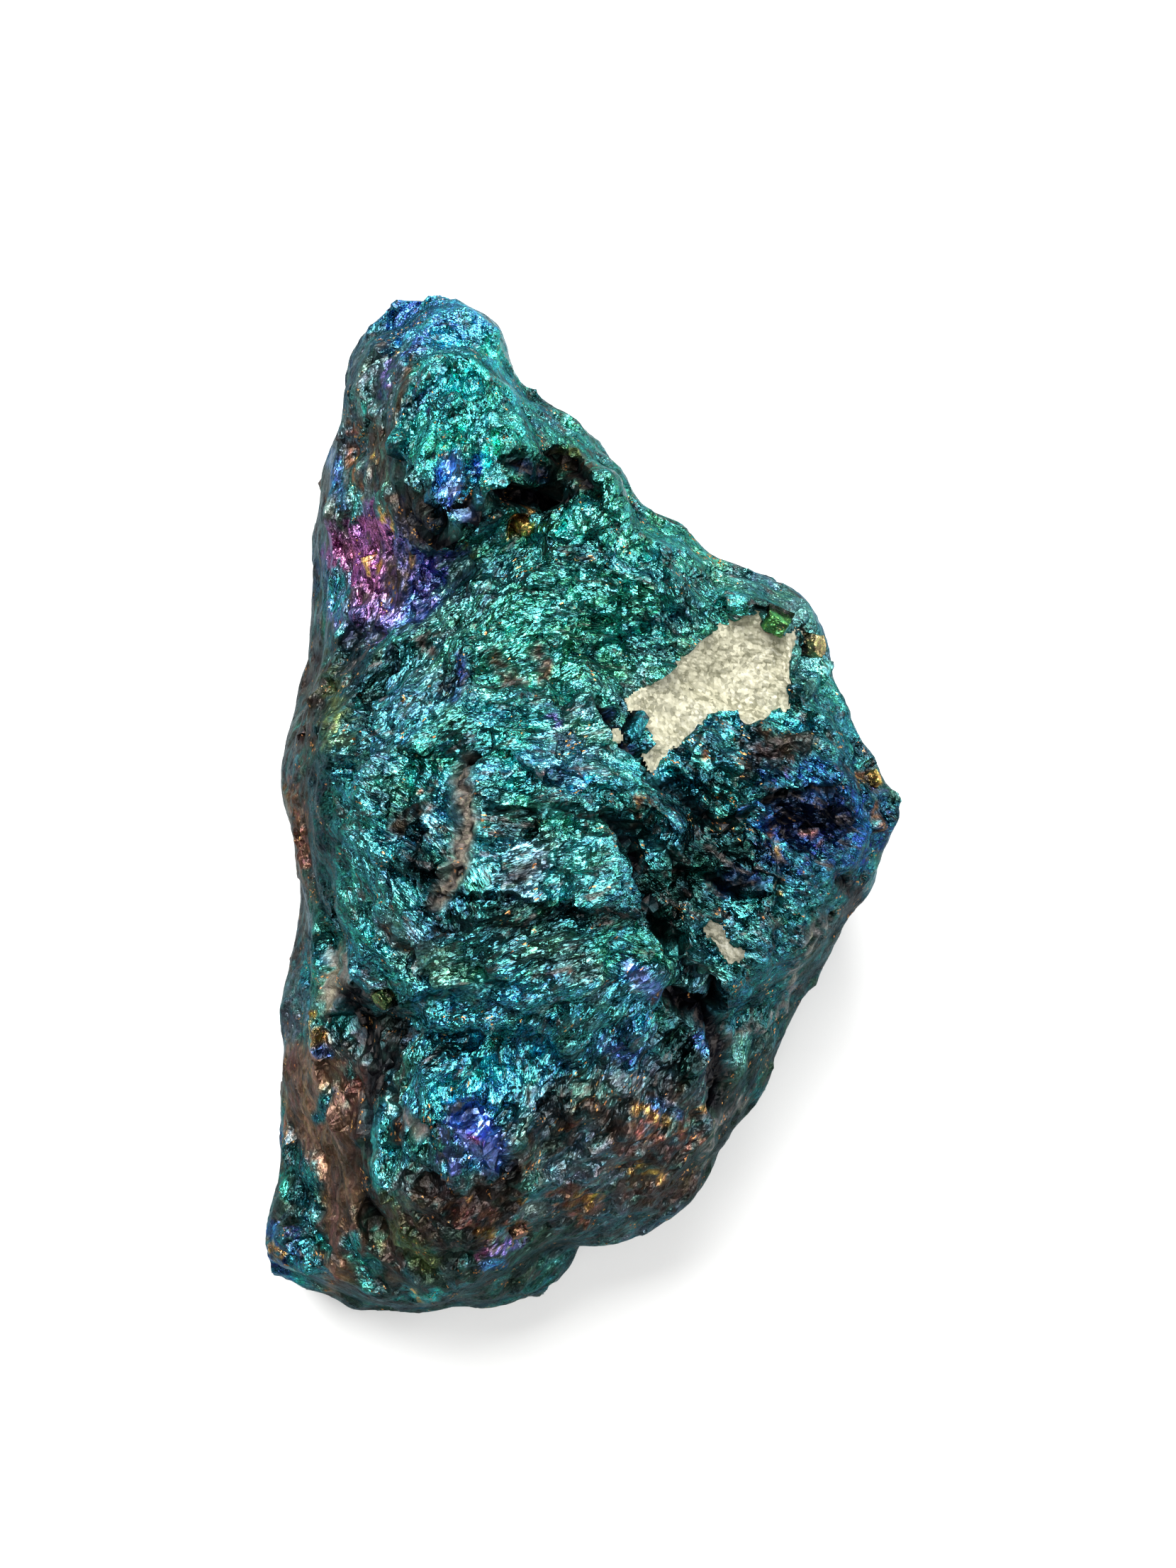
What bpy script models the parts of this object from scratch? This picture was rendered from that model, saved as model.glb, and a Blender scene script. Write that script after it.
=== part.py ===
"""A palm-sized lump of chalcopyrite, lying on a small flat spot on its back.

The lump is one natural piece. Its skin is drawn over the places that a collector would name on it:
a crown knob at the top left, a shoulder and a slope beside it, a round belly, a block on the right,
a lobe and a side facet at the bottom, and a steep left wall with a foot.
+Y runs along the lump from foot to crown, +X to the right of its best face and +Z out of that face.
The origin is under the middle of the lump's box, on the surface that it lies on.
"""

import random

import bmesh
import bpy
import numpy as np
from mathutils import Vector, noise
from mathutils.kdtree import KDTree

MM = 0.001

# Overall size of the lump, in millimetres
WIDTH = 33.4
LENGTH = 54.2
THICKNESS = 24.0

# Where the skin's rings are drawn from, how softly it bends over its high and low places, and what
# evening out its faces takes off the rim
CENTRE = (-3.0, -1.0)
BALL_CUTS = 6
RIM_SPARE = 0.3
ROUNDING = 1.2
SKIN_VOXEL = 0.45
TRIANGLES = 9600

# Broken plates over the whole skin: spacing in millimetres, length over width, lean in radians and
# random seed; then the most that they lift or sink, how far their edges wander as a share of the
# spacing, and how many plates each point chooses from
PLATES = {"big": (5.5, 1.5, 0.08, 4), "small": (2.2, 1.8, 0.13, 9)}
MOST_SHIFT = 0.45
EDGE_WANDER = 0.3
PLATES_NEAR = 6

# How far the back reaches below the flat spot before it is cut
FLAT_DEPTH = 0.8

# The rim is the widest line around the lump, clockwise from the crown: x, y and height
RIM = [
    (-6.1, 26.8, 13), (-4.4, 26.4, 13.5), (-3.3, 25.3, 13.5), (-2.8, 23.8, 13), (-2.5, 22.3, 12.5),
    (-1.8, 21.8, 12.2), (-0.9, 20.9, 12.5), (0.4, 20.2, 12.8), (1.4, 19.4, 12.8), (2.3, 18.2, 12.8),
    (3.3, 17, 12.8), (4.2, 15.3, 12.6), (5.4, 14.6, 12.5), (6.5, 14.1, 12.5), (7.7, 13.2, 12.5),
    (9.3, 12.6, 12.8), (10.5, 11.6, 13), (12, 10.9, 13), (12.5, 9.9, 13), (13.3, 8.9, 13),
    (13.5, 7.8, 13), (13.9, 6.6, 13), (14.7, 5.4, 13), (15.7, 4.2, 13), (16.4, 3.2, 12.5),
    (16.7, 2.2, 12.5), (17.1, 1.3, 12.5), (17, 0.3, 12), (16.5, -0.6, 11.5), (16.4, -1.8, 11),
    (16.2, -3.8, 9.5), (15.5, -4.7, 9), (15.1, -6.1, 8.5), (14.3, -7.5, 8), (13.3, -8.3, 8),
    (12.3, -10.7, 8), (11.6, -11.8, 8), (11, -13.9, 8), (10.1, -15.8, 8), (8.5, -17.4, 8.8),
    (7.5, -18.8, 8.8), (6.5, -20.4, 8.8), (5.4, -21.3, 8.6), (3.7, -22.1, 8.2), (2.7, -22.8, 8),
    (0.7, -23.1, 7), (-0.5, -25, 6), (-2.7, -26.6, 5.5), (-4.7, -27.3, 5), (-7.7, -27.1, 5),
    (-9.8, -26.9, 5), (-11.9, -26.5, 5), (-13.7, -25.8, 5), (-15.6, -24.9, 5), (-16.4, -23.9, 5.5),
    (-16.4, -22.6, 6), (-15.7, -21, 6), (-15.5, -19, 6), (-15.3, -16.5, 6), (-15.1, -14.5, 6.5),
    (-15, -11, 6.5), (-14.8, -8.9, 6.5), (-14.4, -6.9, 6.5), (-14.3, -3.6, 7), (-14.5, -1.1, 7),
    (-15, 0.7, 8), (-15.1, 2.4, 8.5), (-14.9, 4.5, 8.5), (-14.5, 6.2, 7.5), (-14.2, 8.4, 6.5),
    (-14, 10.2, 6.5), (-13.6, 11.7, 6.5), (-13.4, 13.8, 6.5), (-13.3, 16.3, 6.5), (-13.2, 17.8, 7),
    (-13, 19.5, 7), (-12.4, 21.1, 7.5), (-11.6, 22, 8), (-11.2, 23.3, 9), (-10.3, 24.8, 10),
    (-8.9, 26, 12), (-7.6, 26.7, 12.8),
]

# High and low places of the front, area by area: x, y and height
FRONT = {
    "crown": [
        (-5.3, 24.4, 16.6), (-7.6, 23.4, 15.2), (-3.6, 20.8, 18.6), (-8.2, 20.8, 15.8),
        (-5.4, 18.2, 19.8), (-3.1, 17.4, 20), (-8, 17.6, 17), (-5.9, 15.2, 19.2),
        (-3.6, 15.8, 19.8), (-10.9, 22.1, 11.8), (-10, 19, 13.6),
    ],
    "left face": [
        (-12.2, 18.6, 10.2), (-8.9, 16, 15.4), (-12.2, 15, 10.4), (-10, 14, 13.6),
        (-8, 12.6, 15.6), (-12.1, 11.4, 10.8), (-10, 11.2, 13.8), (-6.8, 11.6, 16.6),
    ],
    "shoulder": [
        (-1.8, 20.4, 15.2), (0.5, 18.7, 16.6), (2.8, 16.9, 16.4), (-0.6, 17, 17.2),
        (2.3, 14.8, 17.8), (-0.3, 14.2, 18), (-3, 13.4, 17.6),
    ],
    "slope": [
        (-5, 12, 17.4), (-1.3, 10.6, 19), (2, 10.8, 18.9), (5.5, 11.8, 17.6), (9.1, 11.4, 15.8),
        (-4.6, 8.8, 18.8), (0.5, 8, 19.6), (3.2, 7.8, 19.1), (11.4, 10.2, 15.2),
    ],
    "window": [(4, 5.4, 19.2), (5.8, 6.4, 18.4), (8.8, 8.2, 16.9), (11.6, 7.6, 15.6), (7.4, 4.4, 18.5)],
    "belly": [
        (-10.6, 8.4, 13.8), (-7.4, 7.6, 18), (-10.4, 5.2, 17), (-6.4, 5.6, 20.4), (-2.3, 6, 20.8),
        (1.2, 5.2, 20.6), (-8, 2.8, 21.2), (-4.5, 1.5, 23), (-11.4, 2.4, 17.4), (-0.9, 2.1, 23),
        (2.2, 1.2, 21.8), (-4.5, -1.8, 23.4), (-8, -2.2, 21.6), (-11.2, -1.6, 17), (-1.2, -2.2, 24),
        (2, -3, 22.2), (-7.8, -5.6, 20), (-2.9, -5.8, 22), (-10.9, -5, 16.2), (2.2, -6.4, 20.6),
        (-0.4, -8, 20.4), (-5.4, -8, 19.2),
    ],
    "valley": [(-9, -9, 15.6), (-6, -9.8, 17.2), (-2.6, -9.8, 19), (0.6, -10.4, 18.8)],
    "right block": [
        (4.6, 0.6, 20.6), (7, 2.2, 19.6), (9.9, 3.9, 18), (12.6, 4.6, 16.4), (4.8, -2.4, 20.4),
        (7.2, -0.8, 19.6), (10.6, -0.6, 18.2), (13.9, 1.2, 16.2), (14.4, -1.6, 15), (8.6, -3.8, 19),
        (12.6, -3.2, 16.4), (5.8, -5, 19.6), (8, -6.4, 18.2), (11, -6.6, 15.4), (13.6, -4.8, 13.4),
        (7, -8.8, 16.8),
    ],
    "side facet": [
        (5, -9.8, 17.2), (9.4, -9.4, 13.8), (7.2, -11.2, 14.6), (9.8, -12, 11.4), (5, -13.2, 15.8),
        (8, -14.4, 12), (2.8, -15.4, 15.8), (5.6, -17.4, 12.4), (3.2, -19.6, 11), (0.6, -18.6, 13.6),
    ],
    "lobe": [
        (-8.4, -12.8, 15.6), (-5.6, -13, 18.2), (-2.8, -13.4, 18.6), (0.4, -12.6, 18),
        (-8, -16, 16.2), (-4.9, -17.4, 17), (-1.6, -17.6, 16), (-7.8, -19.8, 14), (-4.6, -21.4, 13),
        (-1.2, -21.4, 11), (-7.4, -24.2, 10), (-3.8, -25, 8.8),
    ],
    "left wall": [
        (-12.6, 5.6, 13), (-12.9, 2.4, 13.8), (-12.8, -1.4, 12.8), (-12.8, -4.6, 12),
        (-12.4, -8.2, 12.6), (-12, -11.6, 13), (-13.6, -14.6, 9.6), (-10.6, -14.4, 13.6),
        (-12, -17.9, 10.6), (-10.6, -20.6, 11.4), (-13.6, -20.6, 8.8),
    ],
    "foot": [(-15, -22.8, 7.6), (-12, -24.1, 8.4), (-9.8, -24.6, 9)],
}

# The back: a low dome around the flat spot, x, y and height, and how steeply the sides drop to it
BACK = [
    (-2.5, -1, -0.9), (-8, 5, -0.1), (3, 5, -0.3), (5, -4, -0.1), (-1, -9, -0.3), (-8, -6, -0.1),
    (-10, 13, 1.6), (-7, 20, 3), (1, 15, 2.6), (9, 8, 1.8), (13, 0, 1.8), (11, -7, 1.2), (7, -14, 1.6),
    (1, -19, 1), (-6, -23, 0.8), (-13, -21, 1), (-13, -10, 0.8), (-13, 3, 1), (-7, 25, 6),
    (15, 4, 3), (-3, 21, 5),
]
SIDE_STEEPNESS = 13

# Direction that the plates are drawn out in: x, y and degrees from +X
GRAIN = [
    (-5, 22, 60), (-4, 17, 70), (-11, 17, 85), (-10, 12, 85), (1, 17, -30), (2, 12, -25),
    (9, 11, -30), (-4, 9, -15), (4, 7, -20), (-8, 4, -20), (-2, 3, -12), (-6, -3, -10), (0, -4, -5),
    (6, 2, -40), (10, 2, -30), (14, 1, -35), (8, -4, -20), (12, -5, 20), (7, -8, 30),
    (-6, -9, 0), (0, -10, 10), (-6, -15, 75), (-2, -17, 70), (4, -14, 60), (9, -13, 65),
    (-6, -23, 80), (2, -20, 40), (-12, -3, 88), (-12, -12, 88), (-13, -22, 70),
]

# How near a guide the grain is the guide's own, in millimetres
GRAIN_REACH = 1.0

# How quickly the forms of the front fade out where the skin turns away to the sides
FRONT_FADE = 3

# Ledges: the line along the edge, with the raised side on the left, then the rise, how far back
# the rise fades, the drop below the edge and how far out the drop fades
LEDGES = {
    "knob": ([(-7.4, 17.2), (-6.7, 15.6), (-6.2, 14.3), (-5, 14), (-4.6, 14.8), (-3.6, 15.4),
              (-2, 15.9), (-1.4, 17.2)], 0.9, 2.5, 1.5, 1.4),
    "left face": ([(-13, 8.8), (-10.6, 9.2), (-8.4, 9.9), (-6.6, 11)], 0.4, 2.0, 0.7, 1.4),
    "belly": ([(-11.6, -5.8), (-10.4, -8), (-8, -9.2), (-5, -9.6), (-1.6, -9.2)], 0.5, 2.0, 1.0, 1.6),
    "block": ([(3.9, -2.7), (4.6, -4.4), (6.3, -6.7), (7.4, -8.4), (8.8, -9.2), (11, -8.4),
               (13, -6.6)], 0.5, 2.0, 0.9, 1.6),
}

# Length over which a ledge starts and ends
LEDGE_END = 2.0

# Hollows in the front: middle, half length, half width, turn in degrees, depth
HOLLOWS = {
    "pocket under the knob": (-1.5, 15.7, 1.6, 0.9, 0, 1.8),
    "shoulder hollow": (0.2, 17.5, 2.2, 1.1, -35, 1.2),
    "block hollow": (12.0, 0.2, 2.2, 1.3, 15, 0.7),
    "pit on the left": (-11.2, -5.9, 0.9, 1.2, 0, 0.7),
    "quartz window": (8.0, 6.6, 4.4, 2.2, 35, 0.3),
    "belly groove": (-5.2, 0.2, 3.4, 0.7, 96, 0.6),
}
# How steeply a hollow's wall drops to its floor
HOLLOW_STEEPNESS = 1.5

# Cracks in the front: points along the line, half width and depth
CRACKS = {
    "beside the block": ([(2, 0.5), (3.2, -0.9), (3.9, -2.5), (4.6, -4.4), (6.3, -6.7)], 0.8, 0.9),
    "above the block": ([(2, 5.4), (3, 4.2), (4.2, 3), (6.6, 0.8), (8.2, -0.2)], 0.7, 0.5),
    "beside the lobe": ([(-10.4, -12), (-9.6, -15), (-9.8, -18.5), (-8.6, -22), (-8, -25)], 0.9, 0.6),
}

# The tarnished ore's colour and shine
ORE_COLOUR = (0.02, 0.20, 0.22, 1)
ORE_METALLIC = 0.9
ORE_ROUGHNESS = 0.35


def clear_scene():
    for item in list(bpy.data.objects):
        bpy.data.objects.remove(item, do_unlink=True)


def new_collection(name):
    collection = bpy.data.collections.new(name)
    bpy.context.scene.collection.children.link(collection)
    return collection


def evaluated_copy(item, name):
    """The mesh of an object as its modifiers leave it."""
    graph = bpy.context.evaluated_depsgraph_get()
    mesh = bpy.data.meshes.new_from_object(item.evaluated_get(graph))
    mesh.name = name
    return mesh


def read_points(mesh):
    """Vertex positions in millimetres, and normals."""
    points = np.empty(len(mesh.vertices) * 3)
    mesh.vertices.foreach_get("co", points)
    normals = np.empty(len(mesh.vertices) * 3)
    mesh.vertices.foreach_get("normal", normals)
    return points.reshape(-1, 3) / MM, normals.reshape(-1, 3)


def write_points(mesh, points):
    mesh.vertices.foreach_set("co", (points * MM).ravel())
    mesh.update()


def stretched(spots):
    """A function of x and y whose surface passes through the spots, bending softly between them."""
    spots = np.array(spots, dtype=float)
    count = len(spots)

    def bend(here):
        away = here[:, None, :2] - spots[None, :, :2]
        return np.sqrt((away ** 2).sum(axis=2) + ROUNDING ** 2)

    def slope(here):
        return np.column_stack([np.ones(len(here)), here[:, :2]])

    system = np.zeros((count + 3, count + 3))
    system[:count, :count] = bend(spots)
    system[:count, count:] = slope(spots)
    system[count:, :count] = slope(spots).T
    weights = np.linalg.solve(system, np.append(spots[:, 2], np.zeros(3)))
    return lambda here: bend(here) @ weights[:count] + slope(here) @ weights[count:]


def along_rim(angles, values):
    """Values given at the rim's points, read off in each direction from the centre."""
    rim = np.array(RIM)[:, :2] - CENTRE
    return np.interp(angles, np.arctan2(rim[:, 1], rim[:, 0]), values, period=2 * np.pi)


def rim_reach(angles):
    rim = np.array(RIM)[:, :2] - CENTRE
    return along_rim(angles, np.hypot(rim[:, 0], rim[:, 1])) + RIM_SPARE


def rim_height(angles):
    return along_rim(angles, np.array(RIM)[:, 2])


def draw_skin(collection):
    """Lay a ball's skin over the rim, the front and the back, and even out its faces."""
    ball = bmesh.new()
    bmesh.ops.create_icosphere(ball, subdivisions=BALL_CUTS, radius=MM)
    mesh = bpy.data.meshes.new("skin")
    ball.to_mesh(mesh)
    ball.free()
    points, _ = read_points(mesh)
    angles = np.arctan2(points[:, 1], points[:, 0])
    reach = rim_reach(angles) * np.sqrt(1 - np.minimum(np.abs(points[:, 2]), 1))
    plan = np.column_stack([np.cos(angles), np.sin(angles)]) * reach[:, None] + CENTRE
    front = stretched(RIM + [spot for area in FRONT.values() for spot in area])(plan)
    dome = stretched(BACK)(plan)
    sides = (1 - np.minimum(np.abs(points[:, 2]), 1)) ** (SIDE_STEEPNESS / 2)
    back = dome + (rim_height(angles) - dome) * sides
    write_points(mesh, np.column_stack([plan, np.where(points[:, 2] > 0, front, back)]))
    skin = bpy.data.objects.new("skin", mesh)
    collection.objects.link(skin)
    even = skin.modifiers.new("even", "REMESH")
    even.mode = "VOXEL"
    even.voxel_size = SKIN_VOXEL * MM
    evened = evaluated_copy(skin, "evened")
    bpy.data.objects.remove(skin, do_unlink=True)
    return evened


def plate_centres(points, spacing, seed):
    """Points scattered over the skin, no two closer than the spacing."""
    order = list(range(len(points)))
    random.Random(seed).shuffle(order)
    steps = [(i, j, k) for i in (-1, 0, 1) for j in (-1, 0, 1) for k in (-1, 0, 1)]
    taken = {}
    for index in order:
        point = points[index]
        cell = tuple(int(c // spacing) for c in point)
        around = [tuple(a + b for a, b in zip(cell, step)) for step in steps]
        near = [other for key in around for other in taken.get(key, ())]
        if all(np.linalg.norm(point - other) >= spacing for other in near):
            taken.setdefault(cell, []).append(point)
    return np.array([centre for group in taken.values() for centre in group])


def grain_along(points):
    """Direction of the grain at each point, as unit vectors in plan."""
    guides = np.array(GRAIN, dtype=float)
    away = points[:, None, :2] - guides[None, :, :2]
    pull = 1 / ((away ** 2).sum(axis=2) + GRAIN_REACH ** 2) ** 2
    double = np.radians(guides[:, 2]) * 2
    angle = np.arctan2(pull @ np.sin(double), pull @ np.cos(double)) / 2
    return np.column_stack([np.cos(angle), np.sin(angle), np.zeros(len(points))])


def plate_relief(points, spacing, stretch, lean, seed):
    """Shift of each point along its normal, as if the skin had broken into flat, leaning plates."""
    centres = plate_centres(points, spacing, seed)
    grain = grain_along(centres)
    tree = KDTree(len(centres))
    for index, centre in enumerate(centres):
        tree.insert(centre, index)
    tree.balance()
    leans = np.random.default_rng(seed).normal(0.0, lean, (len(centres), 3))
    noise.seed_set(seed)
    shift = np.empty(len(points))
    for index, point in enumerate(points):
        wandered = Vector(point) + noise.noise_vector(Vector(point) / spacing) * spacing * EDGE_WANDER
        near = [found[1] for found in tree.find_n(wandered, PLATES_NEAR)]
        away = np.array(wandered) - centres[near]
        along = (away * grain[near]).sum(axis=1)
        gap = (away ** 2).sum(axis=1) - along ** 2 * (1 - 1 / stretch ** 2)
        plate = near[int(np.argmin(gap))]
        shift[index] = leans[plate] @ (point - centres[plate])
    return np.clip(shift, -MOST_SHIFT, MOST_SHIFT)


def line_distance(points, line):
    """Distance in plan from each point to a line, positive on the line's left."""
    best = np.full(len(points), np.inf)
    side = np.ones(len(points))
    for start, end in zip(line[:-1], line[1:]):
        run = np.subtract(end, start)
        away = points[:, :2] - start
        along = np.clip(away @ run / (run @ run), 0, 1)
        distance = np.linalg.norm(away - along[:, None] * run, axis=1)
        nearer = distance < best
        best[nearer] = distance[nearer]
        side[nearer] = np.sign(run[0] * away[nearer, 1] - run[1] * away[nearer, 0])
    return best * side


def ledge_shift(points, line, rise, rise_fade, drop, drop_fade):
    """Height added behind a ledge's edge, and taken away in front of it."""
    distance = line_distance(points, line)
    ends = [np.linalg.norm(points[:, :2] - end, axis=1) for end in (line[0], line[-1])]
    fade_in = np.clip(np.minimum(*ends) / LEDGE_END, 0, 1)
    raised = rise * np.exp(-np.abs(distance) / rise_fade)
    dropped = -drop * np.exp(-np.abs(distance) / drop_fade)
    return np.where(distance > 0, raised, dropped) * fade_in


def hollow_depth(points, middle_x, middle_y, half_length, half_width, turn, depth):
    """Depth of an oval hollow at each point."""
    angle = np.radians(turn)
    across = points[:, :2] - (middle_x, middle_y)
    u = (across[:, 0] * np.cos(angle) + across[:, 1] * np.sin(angle)) / half_length
    v = (across[:, 1] * np.cos(angle) - across[:, 0] * np.sin(angle)) / half_width
    return depth * np.exp(-(u * u + v * v) ** HOLLOW_STEEPNESS)


def shape_skin(mesh):
    """Break the skin into plates, then form the ledges, hollows and cracks of the front."""
    points, normals = read_points(mesh)
    shift = sum(plate_relief(points, *plates) for plates in PLATES.values())
    moved = points + normals * shift[:, None]
    front = np.clip(normals[:, 2] * FRONT_FADE, 0, 1)
    for ledge in LEDGES.values():
        moved[:, 2] += front * ledge_shift(points, *ledge)
    for hollow in HOLLOWS.values():
        moved[:, 2] -= front * hollow_depth(points, *hollow)
    for line, half_width, depth in CRACKS.values():
        near = np.clip(1 - np.abs(line_distance(points, line)) / half_width, 0, 1)
        moved[:, 2] -= front * depth * near
    write_points(mesh, moved)


def thin_out(mesh, collection):
    """Fewer, larger faces, which leave the lump its broken look."""
    rough = bpy.data.objects.new("rough", mesh)
    collection.objects.link(rough)
    rough.modifiers.new("triangles", "TRIANGULATE")
    mesh.calc_loop_triangles()
    fewer = rough.modifiers.new("fewer", "DECIMATE")
    fewer.ratio = TRIANGLES / len(mesh.loop_triangles)
    thinned = evaluated_copy(rough, "chalcopyrite_lump")
    bpy.data.objects.remove(rough, do_unlink=True)
    return thinned


def fit_to_size(mesh):
    """Bring the skin to the stated size, with its box centred and its back just under the floor."""
    points, _ = read_points(mesh)
    low = points.min(axis=0)
    high = points.max(axis=0)
    size = np.array([WIDTH, LENGTH, THICKNESS + FLAT_DEPTH])
    points = (points - (low + high) / 2) * size / (high - low)
    points[:, 2] += THICKNESS - size[2] / 2
    write_points(mesh, points)


def stone_material():
    material = bpy.data.materials.new("tarnished chalcopyrite")
    material.use_nodes = True
    surface = material.node_tree.nodes["Principled BSDF"]
    surface.inputs["Base Color"].default_value = ORE_COLOUR
    surface.inputs["Metallic"].default_value = ORE_METALLIC
    surface.inputs["Roughness"].default_value = ORE_ROUGHNESS
    return material


def floor_cutter(collection):
    """The block whose top cuts the flat spot."""
    bpy.ops.mesh.primitive_cube_add(size=1)
    block = bpy.context.object
    block.name = "flat_spot_cutter"
    block.scale = (2 * WIDTH * MM, 2 * LENGTH * MM, THICKNESS * MM)
    block.location.z = -THICKNESS * MM / 2
    block.hide_render = True
    block.display_type = "WIRE"
    for owner in list(block.users_collection):
        owner.objects.unlink(block)
    collection.objects.link(block)
    return block


def make_lump(collection, cutters):
    skin = draw_skin(collection)
    shape_skin(skin)
    mesh = thin_out(skin, collection)
    fit_to_size(mesh)
    mesh.materials.clear()
    mesh.materials.append(stone_material())
    lump = bpy.data.objects.new("chalcopyrite_lump", mesh)
    collection.objects.link(lump)
    flat = lump.modifiers.new("flat spot", "BOOLEAN")
    flat.operation = "DIFFERENCE"
    flat.solver = "EXACT"
    flat.object = floor_cutter(cutters)


clear_scene()
make_lump(new_collection("chalcopyrite"), new_collection("cutters"))
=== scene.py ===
"""An egg-sized lump of tarnished chalcopyrite, lying on its back on a pale floor.

The lump is one piece of brassy copper ore whose broken skin has tarnished to teal, blue and purple
foil. Milky quartz shows through it in a few places, and small crystals sit in its hollows and along
its edges.
"""

import bmesh
import bpy
import numpy as np
from mathutils import Matrix, Vector, noise
from mathutils.bvhtree import BVHTree
from mathutils.kdtree import KDTree


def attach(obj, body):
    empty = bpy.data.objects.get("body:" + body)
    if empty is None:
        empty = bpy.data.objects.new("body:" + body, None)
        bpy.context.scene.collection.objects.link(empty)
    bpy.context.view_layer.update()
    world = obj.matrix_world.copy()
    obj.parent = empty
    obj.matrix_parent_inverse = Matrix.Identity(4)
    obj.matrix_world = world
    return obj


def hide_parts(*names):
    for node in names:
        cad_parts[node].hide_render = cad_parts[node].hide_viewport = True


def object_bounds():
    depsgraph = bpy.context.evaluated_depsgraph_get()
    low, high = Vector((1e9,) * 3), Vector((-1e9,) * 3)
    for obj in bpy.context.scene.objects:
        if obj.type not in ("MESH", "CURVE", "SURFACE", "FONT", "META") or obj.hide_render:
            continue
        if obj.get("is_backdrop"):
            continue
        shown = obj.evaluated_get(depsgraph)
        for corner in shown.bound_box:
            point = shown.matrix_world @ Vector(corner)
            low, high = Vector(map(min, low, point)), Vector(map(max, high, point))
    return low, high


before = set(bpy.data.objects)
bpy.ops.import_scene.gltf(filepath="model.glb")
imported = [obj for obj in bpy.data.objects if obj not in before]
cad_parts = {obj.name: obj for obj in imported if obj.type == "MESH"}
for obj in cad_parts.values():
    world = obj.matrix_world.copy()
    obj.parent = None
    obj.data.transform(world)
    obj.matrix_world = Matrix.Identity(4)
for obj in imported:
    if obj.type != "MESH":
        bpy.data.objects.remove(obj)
cad_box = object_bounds()

# The camera looks straight down on the lump's best face from 11 centimetres above the floor, which
# gives the photograph's view of it. Places on the face are given as the photograph's own pixels.
MM = 0.001
PHOTO_WIDE = 1659
PHOTO_HIGH = 2212
VIEW_ANGLE = np.radians(45)
VIEW_OVER = (0.73, 2.03)
VIEW_HEIGHT = 110.0
VIEW_FROM = 10.0
PIXELS_PER_MM = 27.0


def placed(name, data):
    """A new object in the scene."""
    item = bpy.data.objects.new(name, data)
    bpy.context.scene.collection.objects.link(item)
    return item


camera_data = bpy.data.cameras.new("camera")
camera_data.angle = VIEW_ANGLE
camera_data.clip_start = VIEW_FROM * MM
camera = placed("camera", camera_data)
camera.location = np.array([*VIEW_OVER, VIEW_HEIGHT]) * MM
bpy.context.scene.camera = camera
bpy.context.scene.view_settings.view_transform = "Standard"


def in_photo(points):
    """The photograph's pixel that shows each point, from points in millimetres."""
    reach = PHOTO_HIGH / 2 / np.tan(VIEW_ANGLE / 2) / (VIEW_HEIGHT - points[:, 2])
    across = PHOTO_WIDE / 2 + (points[:, 0] - VIEW_OVER[0]) * reach
    down = PHOTO_HIGH / 2 - (points[:, 1] - VIEW_OVER[1]) * reach
    return np.column_stack([across, down])


# The lump's skin: the ore broke along no cleavage, so its face is a heap of leaning plates that
# run with the grain, with sharp ledges, cracks and hollows between them.

# The solid's surface is made of even squares, smoothed in rounds and grown back by what that took off
SKIN_VOXEL = 0.248
SKIN_ROUNDS = 36
SKIN_REGROWN = 0.15

# The face runs nearly flat to its edge and then drops away, so its sloping border is raised, from a
# height over the floor up
SHOULDER_RISE = 1.6
SHOULDER_FROM = 6.0
SHOULDER_FADE = 6.0

# Where the outline swells past the solid's: pixel across, pixel down, direction in degrees from the
# right, how far and how wide in millimetres
RIM = [
    (885, 615, 50, 1.1, 3.0), (640, 392, -90, 0.35, 2.0), (582, 410, -75, 0.4, 1.6),
    (638, 428, 90, 0.3, 1.0), (540, 500, 150, 0.5, 3.5), (370, 1765, 215, 1.3, 2.5),
    (520, 1850, 265, 0.5, 4.0), (1245, 1075, 5, 0.1, 2.5), (1130, 850, 45, 0.35, 3.0),
    (380, 1620, 0, 0.3, 2.5),
]
# The swelling dies out down to the floor
RIM_FADE = 4.0

# Grain of the ore: pixel across, pixel down, degrees from the right, and how far single plates stray
GRAIN = [
    (520, 460, 35, 15), (660, 470, -25, 20), (640, 580, 65, 40), (500, 580, 75, 15),
    (500, 780, 80, 15), (780, 600, -30, 20), (850, 760, 40, 60), (950, 800, -35, 25),
    (800, 880, 10, 50), (480, 1000, 15, 50), (605, 930, 50, 20), (750, 1080, 6, 10),
    (835, 1238, 15, 8), (725, 1335, 22, 12), (570, 1120, -25, 20), (556, 1225, -65, 20),
    (445, 1150, 5, 40), (980, 1040, -28, 12), (1020, 1110, -15, 12), (1195, 1130, -22, 10),
    (1150, 1230, -15, 10), (1045, 1290, -40, 15), (950, 1260, -40, 15), (560, 1620, 85, 10),
    (680, 1480, 70, 30), (820, 1650, 68, 15), (760, 1790, 50, 10), (455, 1550, -70, 10),
    (525, 1790, -60, 12), (400, 1770, -35, 15), (980, 1500, 60, 20), (420, 1350, 10, 40),
]
# How near a place the grain is nearly all its own
GRAIN_REACH = 1.0


def read_points(mesh):
    """Places of a mesh's vertices, in millimetres, and their normals."""
    points = np.empty(len(mesh.vertices) * 3)
    mesh.vertices.foreach_get("co", points)
    normals = np.empty(len(mesh.vertices) * 3)
    mesh.vertices.foreach_get("normal", normals)
    return points.reshape(-1, 3) / MM, normals.reshape(-1, 3)


def write_points(mesh, points):
    mesh.vertices.foreach_set("co", (points * MM).ravel())
    mesh.update()


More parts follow.
